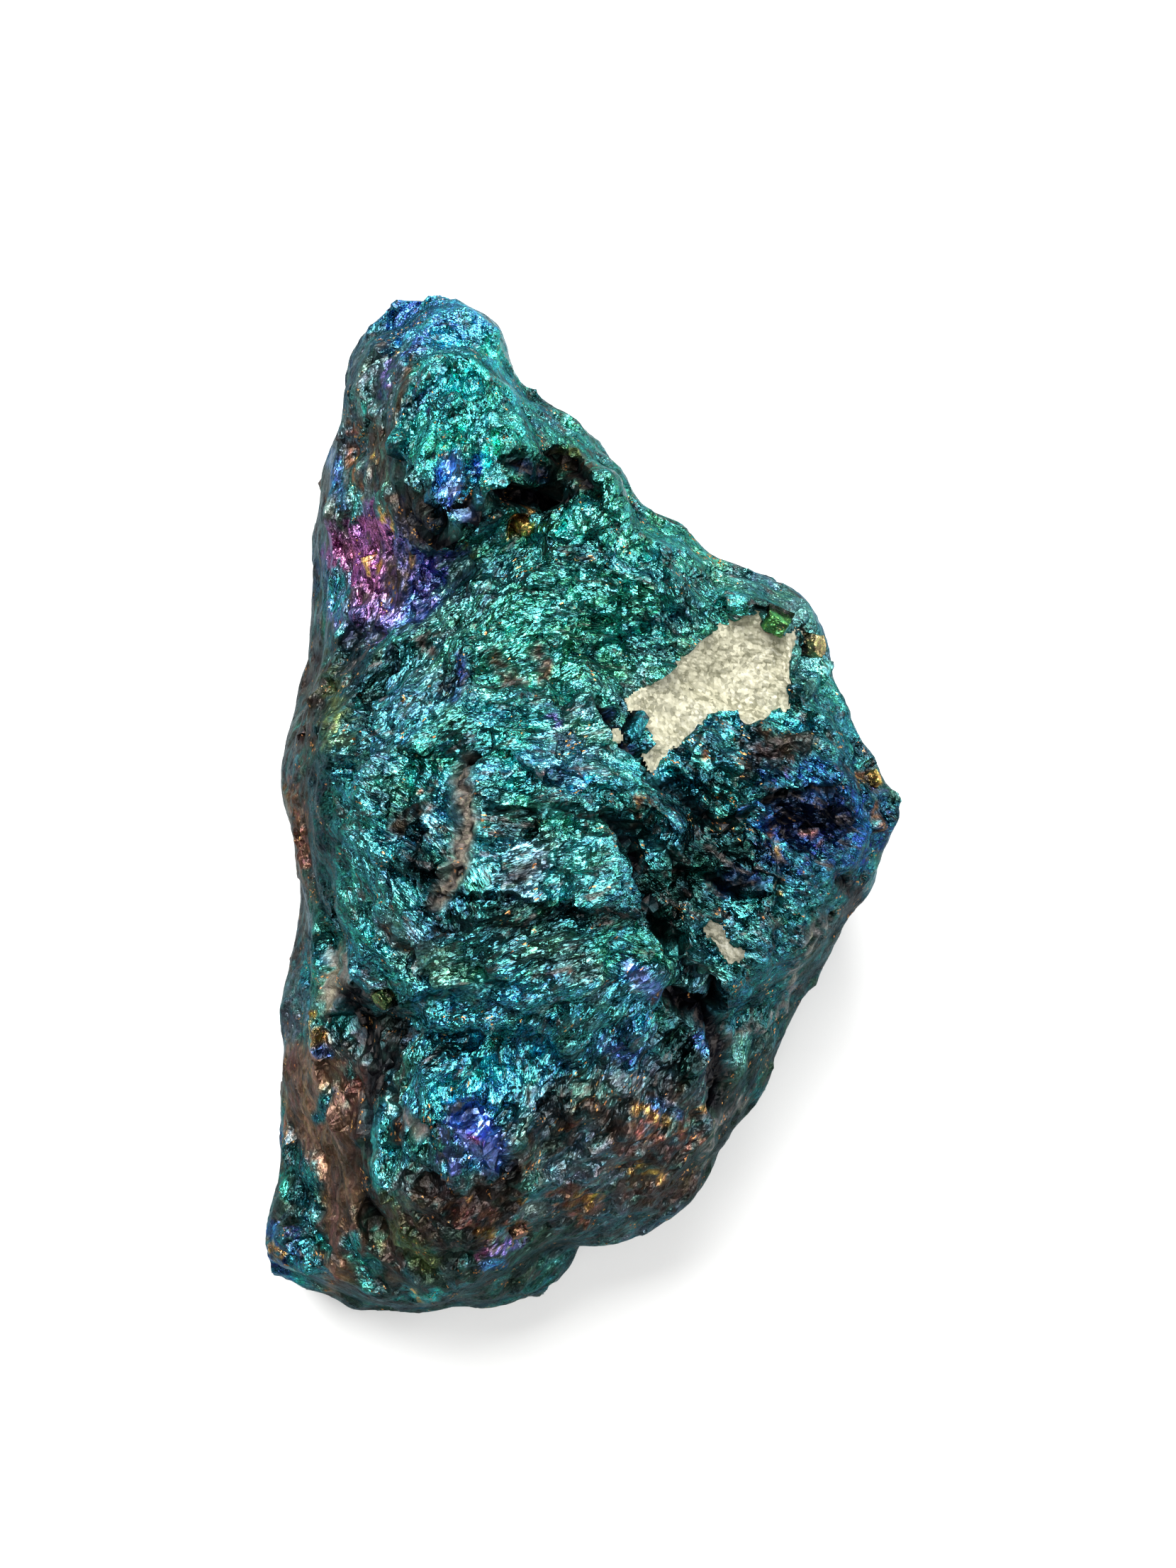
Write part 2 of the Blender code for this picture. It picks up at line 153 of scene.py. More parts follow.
def smoothed(mesh, values, rounds):
    """Values at a mesh's vertices, each drawn towards the mean of its neighbours."""
    edges = np.empty(len(mesh.edges) * 2, dtype=np.int64)
    mesh.edges.foreach_get("vertices", edges)
    first, second = edges.reshape(-1, 2).T
    count = len(mesh.vertices)
    degree = np.bincount(first, minlength=count) + np.bincount(second, minlength=count)
    for _ in range(rounds):
        total = np.column_stack([
            np.bincount(first, column[second], count) + np.bincount(second, column[first], count)
            for column in values.T
        ])
        values = (values + total / degree[:, None]) / 2
    return values


# Each seed reads the noise at another place, and the gain brings it to between about -1 and 1
SEED_STEP = (17.3, 5.1, 11.7)
CLOUD_GAIN = 1.6


def cloudy(points, size, seed):
    """Soft random values between about -1 and 1, in clouds of the given size."""
    shift = Vector([seed * step for step in SEED_STEP])
    return np.array([noise.noise(Vector(point) / size + shift) for point in points]) * CLOUD_GAIN


def clouds(points, layers):
    """Several layers of clouds together, each with its size, seed and share."""
    return sum(cloudy(points, size, seed) * share for size, seed, share in layers)


def grain_at(points, rng):
    """Direction of the grain at each point, as unit vectors in plan."""
    guides = np.array(GRAIN, dtype=float)
    away = (in_photo(points)[:, None] - guides[None, :, :2]) / PIXELS_PER_MM
    pull = 1 / ((away ** 2).sum(axis=2) + GRAIN_REACH ** 2) ** 2
    pull /= pull.sum(axis=1, keepdims=True)
    double = np.radians(guides[:, 2]) * 2
    angle = np.arctan2(pull @ np.sin(double), pull @ np.cos(double)) / 2
    angle += np.radians(pull @ guides[:, 3]) * rng.uniform(-1, 1, len(points))
    return np.column_stack([np.cos(angle), np.sin(angle), np.zeros(len(points))])


# How raggedly patches end: size of the clouds, seed and share, for plates and for single points
PLATES_RAGGED = [(1.6, 5, 0.3), (0.5, 3, 0.3)]
POINTS_RAGGED = [(1.6, 5, 0.3), (0.7, 3, 0.25), (0.3, 4, 0.15)]
# How many plates a point is weighed against, and how far their edges wander, in spacings
PLATES_NEAR = 7
EDGE_WANDER = 0.25


class Plates:
    """Plates of one size all over the skin, each with its own grain and lean."""

    def __init__(self, points, normals, spacing, stretch, seed):
        rng = np.random.default_rng(seed)
        order = rng.permutation(len(points))
        cubes = np.floor(points[order] / spacing).astype(int)
        chosen = order[np.unique(cubes, axis=0, return_index=True)[1]]
        self.rng = rng
        self.centres = points[chosen]
        self.up = normals[chosen]
        grain = grain_at(self.centres, rng)
        grain -= (grain * self.up).sum(axis=1, keepdims=True) * self.up
        self.along = grain / np.linalg.norm(grain, axis=1, keepdims=True)
        self.across = np.cross(self.up, self.along)
        self.pixels = in_photo(self.centres)
        self.ragged = clouds(self.centres, PLATES_RAGGED)
        tree = KDTree(len(chosen))
        for index, centre in enumerate(self.centres):
            tree.insert(centre, index)
        tree.balance()
        shake = np.column_stack([cloudy(points, spacing, seed + axis) for axis in range(3)])
        shaken = points + shake * spacing * EDGE_WANDER
        near = np.array([[found[1] for found in tree.find_n(point, PLATES_NEAR)] for point in shaken])
        away = shaken[:, None] - self.centres[near]
        along = (away * self.along[near]).sum(axis=2)
        gap = np.sqrt((away ** 2).sum(axis=2) - along ** 2 * (1 - 1 / stretch ** 2))
        self.near = near
        self.gap = gap - gap.min(axis=1, keepdims=True)
        self.nearest = near[np.arange(len(points)), gap.argmin(axis=1)]

    def relief(self, points, lean, lift, softness):
        """Height that leaning the plates gives each point."""
        leans = self.rng.normal(0.0, lean, (len(self.centres), 3))
        lifts = self.rng.normal(0.0, lift, len(self.centres))
        height = ((points[:, None] - self.centres[self.near]) * leans[self.near]).sum(axis=2)
        height += lifts[self.near]
        share = np.exp(-self.gap / softness)
        return (height * share).sum(axis=1) / share.sum(axis=1)


solid = placed("solid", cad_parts["chalcopyrite_lump"].data.copy())
even = solid.modifiers.new("even", "REMESH")
even.mode = "VOXEL"
even.voxel_size = SKIN_VOXEL * MM
graph = bpy.context.evaluated_depsgraph_get()
mesh = bpy.data.meshes.new_from_object(solid.evaluated_get(graph))
bpy.data.objects.remove(solid, do_unlink=True)
stone = placed("tarnished_stone", mesh)

points, _ = read_points(mesh)
write_points(mesh, smoothed(mesh, points, SKIN_ROUNDS))
points, normals = read_points(mesh)
points += normals * SKIN_REGROWN
tilt = np.clip(normals[:, 2], 0, 1)
# 0 where the skin lies flat or stands upright, 1 halfway between
sloping = 4 * tilt * (1 - tilt)
points[:, 2] += SHOULDER_RISE * sloping * np.clip((points[:, 2] - SHOULDER_FROM) / SHOULDER_FADE, 0, 1)
points[:, 2] = np.minimum(points[:, 2], cad_box[1][2] / MM)
for across, down, turn, push, reach in RIM:
    away = np.linalg.norm(in_photo(points) - (across, down), axis=1) / PIXELS_PER_MM
    way = np.array([np.cos(np.radians(turn)), np.sin(np.radians(turn)), 0])
    swell = push * np.exp(-(away / reach) ** 2) * np.clip(points[:, 2] / RIM_FADE, 0, 1)
    points += way * swell[:, None]
write_points(mesh, points)
points, normals = read_points(mesh)
skin_tree = BVHTree.FromPolygons(
    [Vector(point) for point in points], [polygon.vertices[:] for polygon in mesh.polygons])

# Facets that catch the light and facets that lie in shade, each by the box around it in pixels:
# left, top, right, bottom. Their slopes are turned towards or away from the lights, and further down
# their colour is painted lighter or darker too, as painted light and painted shade.
LIT = [
    (526, 1063, 573, 1104), (717, 1037, 787, 1075), (797, 1053, 908, 1107), (672, 1123, 813, 1155),
    (784, 1197, 886, 1279), (660, 1203, 717, 1244), (532, 1212, 580, 1238), (538, 1254, 609, 1324),
    (621, 1260, 663, 1280), (829, 1305, 870, 1318), (602, 1327, 653, 1356), (608, 1177, 650, 1197),
    (711, 919, 736, 945), (733, 957, 781, 989), (526, 989, 590, 1034),
    (991, 999, 1044, 1034), (1066, 1002, 1116, 1034), (928, 1059, 981, 1099), (1125, 931, 1163, 965),
    (919, 1131, 956, 1171), (1025, 1121, 1069, 1140), (1022, 1271, 1063, 1306),
    (925, 1231, 953, 1243), (555, 427, 710, 491), (609, 511, 720, 562),
    (646, 586, 720, 636), (673, 636, 720, 697), (775, 582, 815, 609), (869, 748, 957, 873),
    (577, 1518, 646, 1546), (677, 1494, 708, 1573), (515, 1555, 546, 1680), (783, 713, 830, 780),
    (1125, 930, 1160, 964), (800, 700, 900, 740),
]
SHADED = [
    (557, 1196, 634, 1238), (551, 1123, 609, 1187), (609, 1279, 781, 1324), (781, 1276, 908, 1308),
    (711, 1148, 774, 1174), (707, 1232, 768, 1257), (471, 919, 564, 996), (609, 925, 660, 970),
    (960, 1165, 1084, 1228), (1000, 1231, 1081, 1256), (1088, 1115, 1178, 1156),
    (918, 1236, 976, 1290), (1012, 1071, 1069, 1115), (1044, 1040, 1144, 1065),
    (1197, 1234, 1219, 1271), (736, 1549, 774, 1580),
    (487, 1405, 575, 1500), (583, 1663, 725, 1755), (723, 637, 783, 680),
    (1083, 1125, 1198, 1183), (560, 700, 600, 747), (940, 1452, 985, 1520), (760, 1516, 840, 1620),
]
# The slopes that lit and shaded facets are turned to, how much of the way they are turned, and the
# most that this raises or lowers a point
LIT_SLOPE = (0.10, -0.34)
SHADED_SLOPE = (-0.10, 0.38)
FACET_STRENGTH = 0.75
FACET_MOST = 0.38
# A wall's slope is read as if its normal had at least this much up in it. The large plates are calmer
# on a facet by this share.
LEAST_UP = 0.2
FACET_CALM = 0.6

# Cracks and creases: half width, depth, and the pixels along the line. A ridge has a depth below zero.
# Inside, cracks are painted dark as painted shade, fully black from the depth below and deeper.
CRACK_SHADE_DEPTH = 1.1
CRACK_RAGGED = 0.2
CRACKS = {
    "under the knob": (0.7, 1.9, [(590, 700), (612, 735), (632, 748), (648, 745), (663, 722),
        (690, 708), (727, 697), (768, 705)]),
    "knob cavity": (0.5, 1.2, [(712, 706), (740, 706), (770, 704), (797, 700)]),
    "shoulder hollow": (0.8, 0.5, [(728, 650), (750, 660), (775, 672)]),
    "shoulder slot": (0.45, 1.0, [(780, 640), (800, 652), (820, 670), (838, 692)]),
    "left face crease": (0.4, 0.35, [(598, 857), (546, 893), (480, 905), (450, 930)]),
    "knob left": (0.6, 0.5, [(560, 640), (562, 680), (575, 720), (590, 745)]),
    "belly and block": (0.4, 0.8, [(858, 1148), (885, 1185), (900, 1215), (905, 1240), (912, 1276)]),
    "below the block": (0.6, 1.9, [(912, 1270), (936, 1304), (960, 1336), (984, 1368), (1000, 1396),
        (1010, 1422)]),
    "below the speck": (0.8, 1.3, [(950, 1408), (984, 1428), (1006, 1444), (1020, 1470), (1016, 1516),
        (1012, 1560)]),
    "across the belly": (0.3, 0.6, [(690, 1140), (740, 1147), (790, 1141), (845, 1154)]),
    "block step": (0.35, 0.7, [(918, 1094), (960, 1117), (983, 1148), (1014, 1166), (1060, 1150)]),
    "block split": (0.3, 0.6, [(870, 1160), (900, 1170), (930, 1195), (975, 1240)]),
    "by the blade": (0.4, 1.0, [(845, 985), (857, 999), (868, 1022), (887, 1056), (907, 1078),
        (925, 1094)]),
    "navy hollow edge": (0.35, 0.8, [(1075, 1133), (1098, 1123), (1129, 1121), (1148, 1112),
        (1186, 1112)]),
    "lobe top": (0.6, 0.35, [(480, 1440), (540, 1440), (590, 1420), (640, 1400), (700, 1392)]),
    "lobe left": (1.0, 0.6, [(492, 1405), (512, 1450), (530, 1500), (512, 1560), (510, 1620),
        (512, 1680), (530, 1730)]),
    "lobe rib": (0.4, 0.4, [(552, 1545), (558, 1580), (556, 1620)]),
    "lobe foot": (0.8, 0.35, [(585, 1668), (640, 1690), (690, 1690), (730, 1665)]),
    "beside the quartz": (0.3, 0.3, [(1092, 1160), (1100, 1210), (1098, 1290)]),
    "round the crystal": (0.3, 0.5, [(1068, 860), (1120, 858), (1122, 890), (1104, 903), (1072, 896),
        (1068, 860)]),
    "groove pit": (0.35, 0.8, [(640, 1088), (655, 1076), (674, 1070)]),
    "crusty ridge": (0.7, -0.45, [(1160, 1304), (1136, 1328), (1120, 1368), (1104, 1420), (1072, 1448),
        (1036, 1460)]),
    "foot ridge": (0.8, -0.4, [(470, 1560), (490, 1640), (480, 1720), (490, 1800)]),
    "right notch": (0.5, 0.6, [(1190, 1240), (1208, 1262), (1196, 1286)]),
}

# Steps in the skin: rise behind the line, how far it fades, drop in front, how far it fades, pixels
# along the line with the raised side on the left
LEDGES = {
    "belly shelf": (0.35, 1.2, 0.5, 1.0, [(560, 1235), (610, 1262), (660, 1262), (720, 1262),
        (780, 1280)]),
    "striped facet": (0.3, 1.2, 0.4, 0.8, [(786, 1280), (830, 1270), (880, 1240), (895, 1200)]),
    "crescent": (0.3, 0.8, 0.4, 0.8, [(545, 1200), (580, 1220), (620, 1235), (650, 1215)]),
    "slope shelf": (0.3, 1.5, 0.4, 0.8, [(770, 905), (830, 915), (880, 900), (930, 870)]),
    "block lobe": (0.3, 1.0, 0.4, 0.8, [(925, 1100), (985, 1105), (1050, 1140), (1090, 1150)]),
    "block lower": (0.3, 1.2, 0.5, 0.9, [(930, 1230), (990, 1225), (1050, 1262), (1110, 1262)]),
    "knob foot": (0.3, 1.0, 0.3, 0.8, [(545, 640), (580, 650), (600, 690)]),
}
# A step runs out over this length at its ends
LEDGE_END = 1.0
LEDGE_RAGGED = 0.3

# The dusty groove down the belly: the pixels along it, and how far its edge reaches in half widths
GROOVE = [
    (660, 1075), (645, 1100), (655, 1130), (660, 1160), (650, 1200), (645, 1225), (630, 1250), (615, 1270),
]
GROOVE_HALF_WIDTH = 0.48
GROOVE_DEPTH = 0.28
GROOVE_REACH = 1.5
GROOVE_RAGGED = 0.35

# Outlines in pixels where the ore broke away from the quartz, and the recess that the quartz fills
WINDOW = [
    (890, 986), (914, 969), (943, 950), (962, 931), (990, 905), (1005, 893), (1029, 881), (1048, 867),
    (1071, 871), (1074, 898), (1117, 898), (1131, 890), (1129, 910), (1114, 938), (1112, 962),
    (1107, 998), (1086, 1005), (1067, 1019), (1057, 1024), (1048, 1019), (1040, 1005), (1024, 1000),
    (1005, 1005), (990, 1017), (967, 1038), (943, 1057), (924, 1083), (914, 1062), (912, 1029), (902, 1005),
]
SPECK = [
    (1001, 1300), (1013, 1302), (1019, 1318), (1030, 1333), (1050, 1340), (1049, 1352), (1036, 1362),
    (1022, 1350), (1009, 1336), (999, 1316),
]
WINDOW_DEPTH = 0.8
WINDOW_RAGGED = 0.1
WINDOW_FADE = 0.15

# A patch reaches a little past the oval in its box, and its edge fades, both in halves of the box
PATCH_REACH = 1.25
PATCH_FADE = 0.35


def spot(pixels, ragged, left, top, right, bottom):
    """How much each point lies in a ragged oval patch, from 0 outside to 1 inside."""
    across = (pixels[:, 0] - (left + right) / 2) / (right - left) * 2
    down = (pixels[:, 1] - (top + bottom) / 2) / (bottom - top) * 2
    return np.clip((PATCH_REACH - np.hypot(across, down) - ragged) / PATCH_FADE, 0, 1)


def line_gap(pixels, line):
    """Distance in millimetres from each point to a line of pixels, positive on the line's left."""
    best = np.full(len(pixels), np.inf)
    side = np.ones(len(pixels))
    for start, end in zip(line[:-1], line[1:]):
        run = np.subtract(end, start) * (1, -1)
        away = (pixels - start) * (1, -1)
        along = np.clip(away @ run / (run @ run), 0, 1)
        distance = np.linalg.norm(away - along[:, None] * run, axis=1)
        nearer = distance < best
        best[nearer] = distance[nearer]
        side[nearer] = np.sign(run[0] * away[nearer, 1] - run[1] * away[nearer, 0])
    return best * side / PIXELS_PER_MM


def inside(pixels, outline):
    """Distance in millimetres to a closed outline of pixels, positive inside it."""
    closed = outline + outline[:1]
    gap = np.abs(line_gap(pixels, closed))
    within = np.zeros(len(pixels), dtype=bool)
    for (x0, y0), (x1, y1) in zip(closed[:-1], closed[1:]):
        if y0 != y1:
            crosses = (pixels[:, 1] > min(y0, y1)) & (pixels[:, 1] <= max(y0, y1))
            within ^= crosses & (pixels[:, 0] < x0 + (pixels[:, 1] - y0) * (x1 - x0) / (y1 - y0))
    return np.where(within, gap, -gap)


PLATES = [
    # spacing, stretch, lean, lift, softness, spread of shades
    (2.6, 1.6, 0.16, 0.08, 0.08, 0.10),
    (1.1, 2.4, 0.28, 0.03, 0.06, 0.22),
    (0.55, 2.8, 0.20, 0.01, 0.05, 0.30),
]
PLATES_SEED = 10
heaps = [Plates(points, normals, spacing, stretch, PLATES_SEED + number)
         for number, (spacing, stretch, *_) in enumerate(PLATES)]
large, medium, small = heaps


def by_plate(plates, box):
    """How much each point's plate lies in a patch, so that patches end at plates' edges."""
    return spot(plates.pixels, plates.ragged, *box)[plates.nearest]


# How fast the skin comes into view as it turns towards the camera, for its relief and its colours
FRONT_FADE = 4
SEEN_FADE = 8
# The relief dies out just over the floor and is lower where the skin is seen edge on
SETTLE_HEIGHT = 0.6
SETTLE_FACING = 1.5
SETTLE_LEAST = 0.15
RELIEF_RANGE = (-1.9, 0.9)
HUE_SPREAD = 0.5

pixels = in_photo(points)
toward = np.array([*VIEW_OVER, VIEW_HEIGHT]) - points
toward /= np.linalg.norm(toward, axis=1, keepdims=True)
facing = (normals * toward).sum(axis=1)
front = np.clip(facing * FRONT_FADE, 0, 1)
seen = np.clip(facing * SEEN_FADE + 1, 0, 1)
ragged = clouds(points, POINTS_RAGGED)

rise = np.zeros(len(points))
faceted = np.zeros(len(points))
slopes = -normals[:, :2] / np.maximum(normals[:, 2:], LEAST_UP)
for slope, boxes in ((LIT_SLOPE, LIT), (SHADED_SLOPE, SHADED)):
    for box in boxes:
        share = by_plate(medium, box) * front
        if share.sum() < 1:
            continue
        centre = share @ points[:, :2] / share.sum()
        turn = (np.array(slope) - share @ slopes / share.sum()) * FACET_STRENGTH
        rise += share * np.clip((points[:, :2] - centre) @ turn, -FACET_MOST, FACET_MOST)
        faceted = np.maximum(faceted, share)
for lift, lift_fade, drop, drop_fade, line in LEDGES.values():
    gap = line_gap(pixels, line) + ragged * LEDGE_RAGGED
    ends = [np.linalg.norm(pixels - end, axis=1) / PIXELS_PER_MM for end in (line[0], line[-1])]
    fade = np.clip(np.minimum(*ends) / LEDGE_END, 0, 1) * front
    rise += np.where(gap > 0, lift * np.exp(-gap / lift_fade), -drop * np.exp(gap / drop_fade)) * fade
crack_shade = np.zeros(len(points))
for half_width, depth, line in CRACKS.values():
    gap = np.abs(line_gap(pixels, line)) + ragged * CRACK_RAGGED
    near = np.clip(1 - gap / half_width, 0, 1) * front
    rise -= depth * near
    crack_shade = np.maximum(crack_shade, near * np.clip(depth / CRACK_SHADE_DEPTH, 0, 1))
gap = np.abs(line_gap(pixels, GROOVE)) + ragged * GROOVE_RAGGED
grooved = np.clip(GROOVE_REACH - gap / GROOVE_HALF_WIDTH, 0, 1) * front
rise -= GROOVE_DEPTH * grooved
shown = np.maximum(inside(pixels, WINDOW), inside(pixels, SPECK))
in_window = np.clip((shown + ragged * WINDOW_RAGGED) / WINDOW_FADE, 0, 1) * front
rise -= WINDOW_DEPTH * in_window

height = np.zeros(len(points))
shades = np.ones(len(points))
hues = np.zeros(len(points))
for number, (plates, (_, _, lean, lift, softness, spread)) in enumerate(zip(heaps, PLATES)):
    calm = (1 - faceted * FACET_CALM) if number == 0 else 1
    height += plates.relief(points, lean, lift, softness) * calm
    shades *= np.exp(plates.rng.normal(0, spread, len(plates.centres)))[plates.nearest]
    hues += plates.rng.normal(0, HUE_SPREAD, len(plates.centres))[plates.nearest]
settle = np.clip(points[:, 2] / SETTLE_HEIGHT, 0, 1)
settle *= np.clip(np.abs(facing) * SETTLE_FACING, SETTLE_LEAST, 1)
height = rise + height * (1 - in_window)
points = points + normals * (np.clip(height, *RELIEF_RANGE) * settle)[:, None]
low, high = (np.array(corner) / MM for corner in cad_box)
points = np.clip(points, low, high)
write_points(mesh, points)

# Tarnish of the skin: colour, foil crumpling, roughness and metal
TARNISH = {
    "teal": ((0.045, 0.30, 0.285), 1.0, 0.20, 1.0),
    "turquoise": ((0.05, 0.44, 0.40), 1.0, 0.20, 1.0),
    "cyan": ((0.045, 0.29, 0.36), 1.0, 0.20, 1.0),
    "sky": ((0.055, 0.25, 0.42), 1.0, 0.20, 1.0),
    "sea green": ((0.06, 0.31, 0.26), 1.0, 0.22, 1.0),
    "green": ((0.11, 0.36, 0.10), 1.0, 0.22, 1.0),
    "deep teal": ((0.026, 0.15, 0.17), 0.9, 0.24, 1.0),
    # deep green is a tarnish, and also painted shade where it lies on shaded facets, in hollows and down
    # the dark right side
    "deep green": ((0.014, 0.08, 0.075), 0.8, 0.28, 1.0),
    "blue": ((0.06, 0.19, 0.42), 0.9, 0.25, 1.0),
    "slate": ((0.095, 0.135, 0.145), 0.7, 0.40, 1.0),
    "deep blue": ((0.016, 0.09, 0.22), 0.9, 0.25, 1.0),
    "navy": ((0.012, 0.045, 0.13), 0.6, 0.35, 1.0),
    "violet": ((0.15, 0.24, 0.58), 0.25, 0.3, 1.0),
    "rust": ((0.20, 0.12, 0.085), 0.45, 0.5, 1.0),
    "dull green": ((0.035, 0.062, 0.052), 0.6, 0.45, 1.0),
    "purple": ((0.13, 0.12, 0.36), 0.8, 0.25, 1.0),
    "magenta": ((0.36, 0.12, 0.30), 0.8, 0.25, 1.0),
    "copper": ((0.24, 0.115, 0.072), 0.6, 0.42, 1.0),
    "brown": ((0.065, 0.045, 0.035), 0.6, 0.42, 0.9),
    "brass": ((0.34, 0.28, 0.13), 0.8, 0.28, 1.0),
    "gold": ((0.60, 0.36, 0.10), 0.8, 0.25, 1.0),
    "olive": ((0.09, 0.12, 0.045), 0.6, 0.38, 0.9),
    "clay": ((0.17, 0.14, 0.11), 0.8, 0.8, 0.0),
    "grey": ((0.16, 0.14, 0.12), 0.6, 0.6, 0.0),
    "crust": ((0.14, 0.14, 0.125), 1.0, 0.5, 0.3),
    # black is no tarnish but painted shade, laid in cracks, hollows and the quartz's recess; it also gives
    # the groove its black specks
    "black": ((0.004, 0.004, 0.006), 0.2, 0.6, 1.0),
}
# How much the colour of lit facets is painted lighter, as painted light, and that of shaded ones
# darker, as painted shade
PAINTED_LIGHT_GAIN = 1.5
PAINTED_SHADE_GAIN = 0.42
# Steep sides, turned away from the camera, are painted darker than the face as painted shade, and
# their plates differ more
STEEP_PAINTED_SHADE = 0.5
STEEP_SHADE_FADE = 1.6
SIDE_CONTRAST = 0.8
# Darkest and lightest plates, and how far the oddest plates lose green or blue
SHADE_RANGE = (0.25, 1.7)
HUE_MOST = 1.5
LESS_GREEN = 0.12
LESS_BLUE = 0.15
# Where each tarnish lies, by the box around it in pixels, the later ones over the earlier. The black
# box is painted shade, and so are some deep green ones.
AREAS = [
    ("slate", 400, 400, 575, 700), ("sky", 500, 370, 730, 500), ("turquoise", 590, 490, 740, 720),
    ("brown", 390, 600, 500, 900), ("sea green", 700, 560, 1000, 900),
    ("sea green", 640, 820, 960, 980), ("slate", 410, 890, 540, 1010),
    ("deep teal", 430, 930, 560, 1070), ("olive", 425, 940, 490, 1080), ("brown", 415, 960, 465, 1300),
    ("deep green", 430, 1040, 480, 1330), ("deep teal", 900, 980, 1270, 1420),
    ("slate", 700, 1470, 1080, 1780), ("cyan", 540, 1380, 900, 1520), ("slate", 490, 1400, 575, 1560),
    ("cyan", 560, 1490, 730, 1600), ("slate", 560, 1640, 740, 1770), ("copper", 395, 1463, 512, 1624),
    ("copper", 447, 1580, 515, 1735), ("copper", 470, 1715, 504, 1828), ("brown", 370, 960, 435, 1440),
    ("slate", 395, 1370, 439, 1476), ("brown", 395, 880, 450, 1000), ("copper", 385, 1120, 430, 1260),
    # The deep green boxes on this line and on the next six lines are painted shade, laid on shaded facets
    # and down the dark right side
    ("deep green", 960, 1165, 1084, 1228), ("navy", 1000, 1231, 1081, 1256),
    ("deep blue", 1070, 1090, 1260, 1230), ("navy", 1083, 1114, 1198, 1183),
    ("deep green", 912, 1224, 990, 1309), ("brown", 1060, 1035, 1150, 1070),
    ("deep green", 609, 1279, 781, 1324), ("deep green", 781, 1276, 908, 1308),
    ("deep teal", 1010, 1330, 1140, 1460), ("deep green", 1120, 1270, 1220, 1410),
    ("deep green", 1050, 1390, 1160, 1570), ("deep green", 990, 1540, 1100, 1700),
    ("deep green", 557, 1196, 634, 1238), ("deep green", 711, 1148, 774, 1174),
    ("slate", 707, 1232, 768, 1257), ("slate", 450, 690, 600, 880), ("blue", 500, 770, 610, 880),
    ("purple", 460, 725, 590, 880), ("magenta", 462, 725, 550, 850), ("cyan", 455, 800, 500, 860),
    ("brown", 540, 780, 590, 850), ("purple", 575, 785, 615, 850), ("gold", 541, 714, 555, 731),
    ("gold", 548, 745, 560, 762), ("gold", 520, 795, 536, 806), ("gold", 575, 790, 590, 802),
    ("sky", 525, 806, 546, 820), ("gold", 505, 690, 515, 700), ("gold", 724, 724, 748, 751),
    # The black box on the next line is painted shade in the cavity beside the knob
    ("black", 714, 690, 768, 723), ("blue", 744, 657, 768, 680), ("brown", 781, 633, 835, 687),
    ("blue", 592, 734, 619, 755), ("purple", 619, 768, 650, 792), ("olive", 656, 768, 670, 795),
    ("sky", 600, 660, 680, 728), ("violet", 622, 1565, 708, 1652), ("magenta", 663, 1604, 684, 1621),
    ("brown", 722, 1614, 757, 1670), ("copper", 784, 1677, 843, 1728), ("gold", 719, 1725, 743, 1742),
    ("gold", 675, 1728, 691, 1746), ("magenta", 677, 1749, 705, 1773), ("blue", 688, 1777, 705, 1790),
    ("deep green", 698, 1742, 808, 1828), ("olive", 532, 1701, 608, 1777),
    ("deep blue", 370, 1725, 429, 1811), ("grey", 446, 1340, 498, 1428),
    ("brown", 860, 1545, 1010, 1690), ("brown", 590, 1660, 730, 1760), ("brown", 446, 1640, 520, 1820),
    ("gold", 443, 1446, 460, 1470), ("cyan", 991, 999, 1044, 1034), ("cyan", 1066, 1002, 1116, 1034),
]
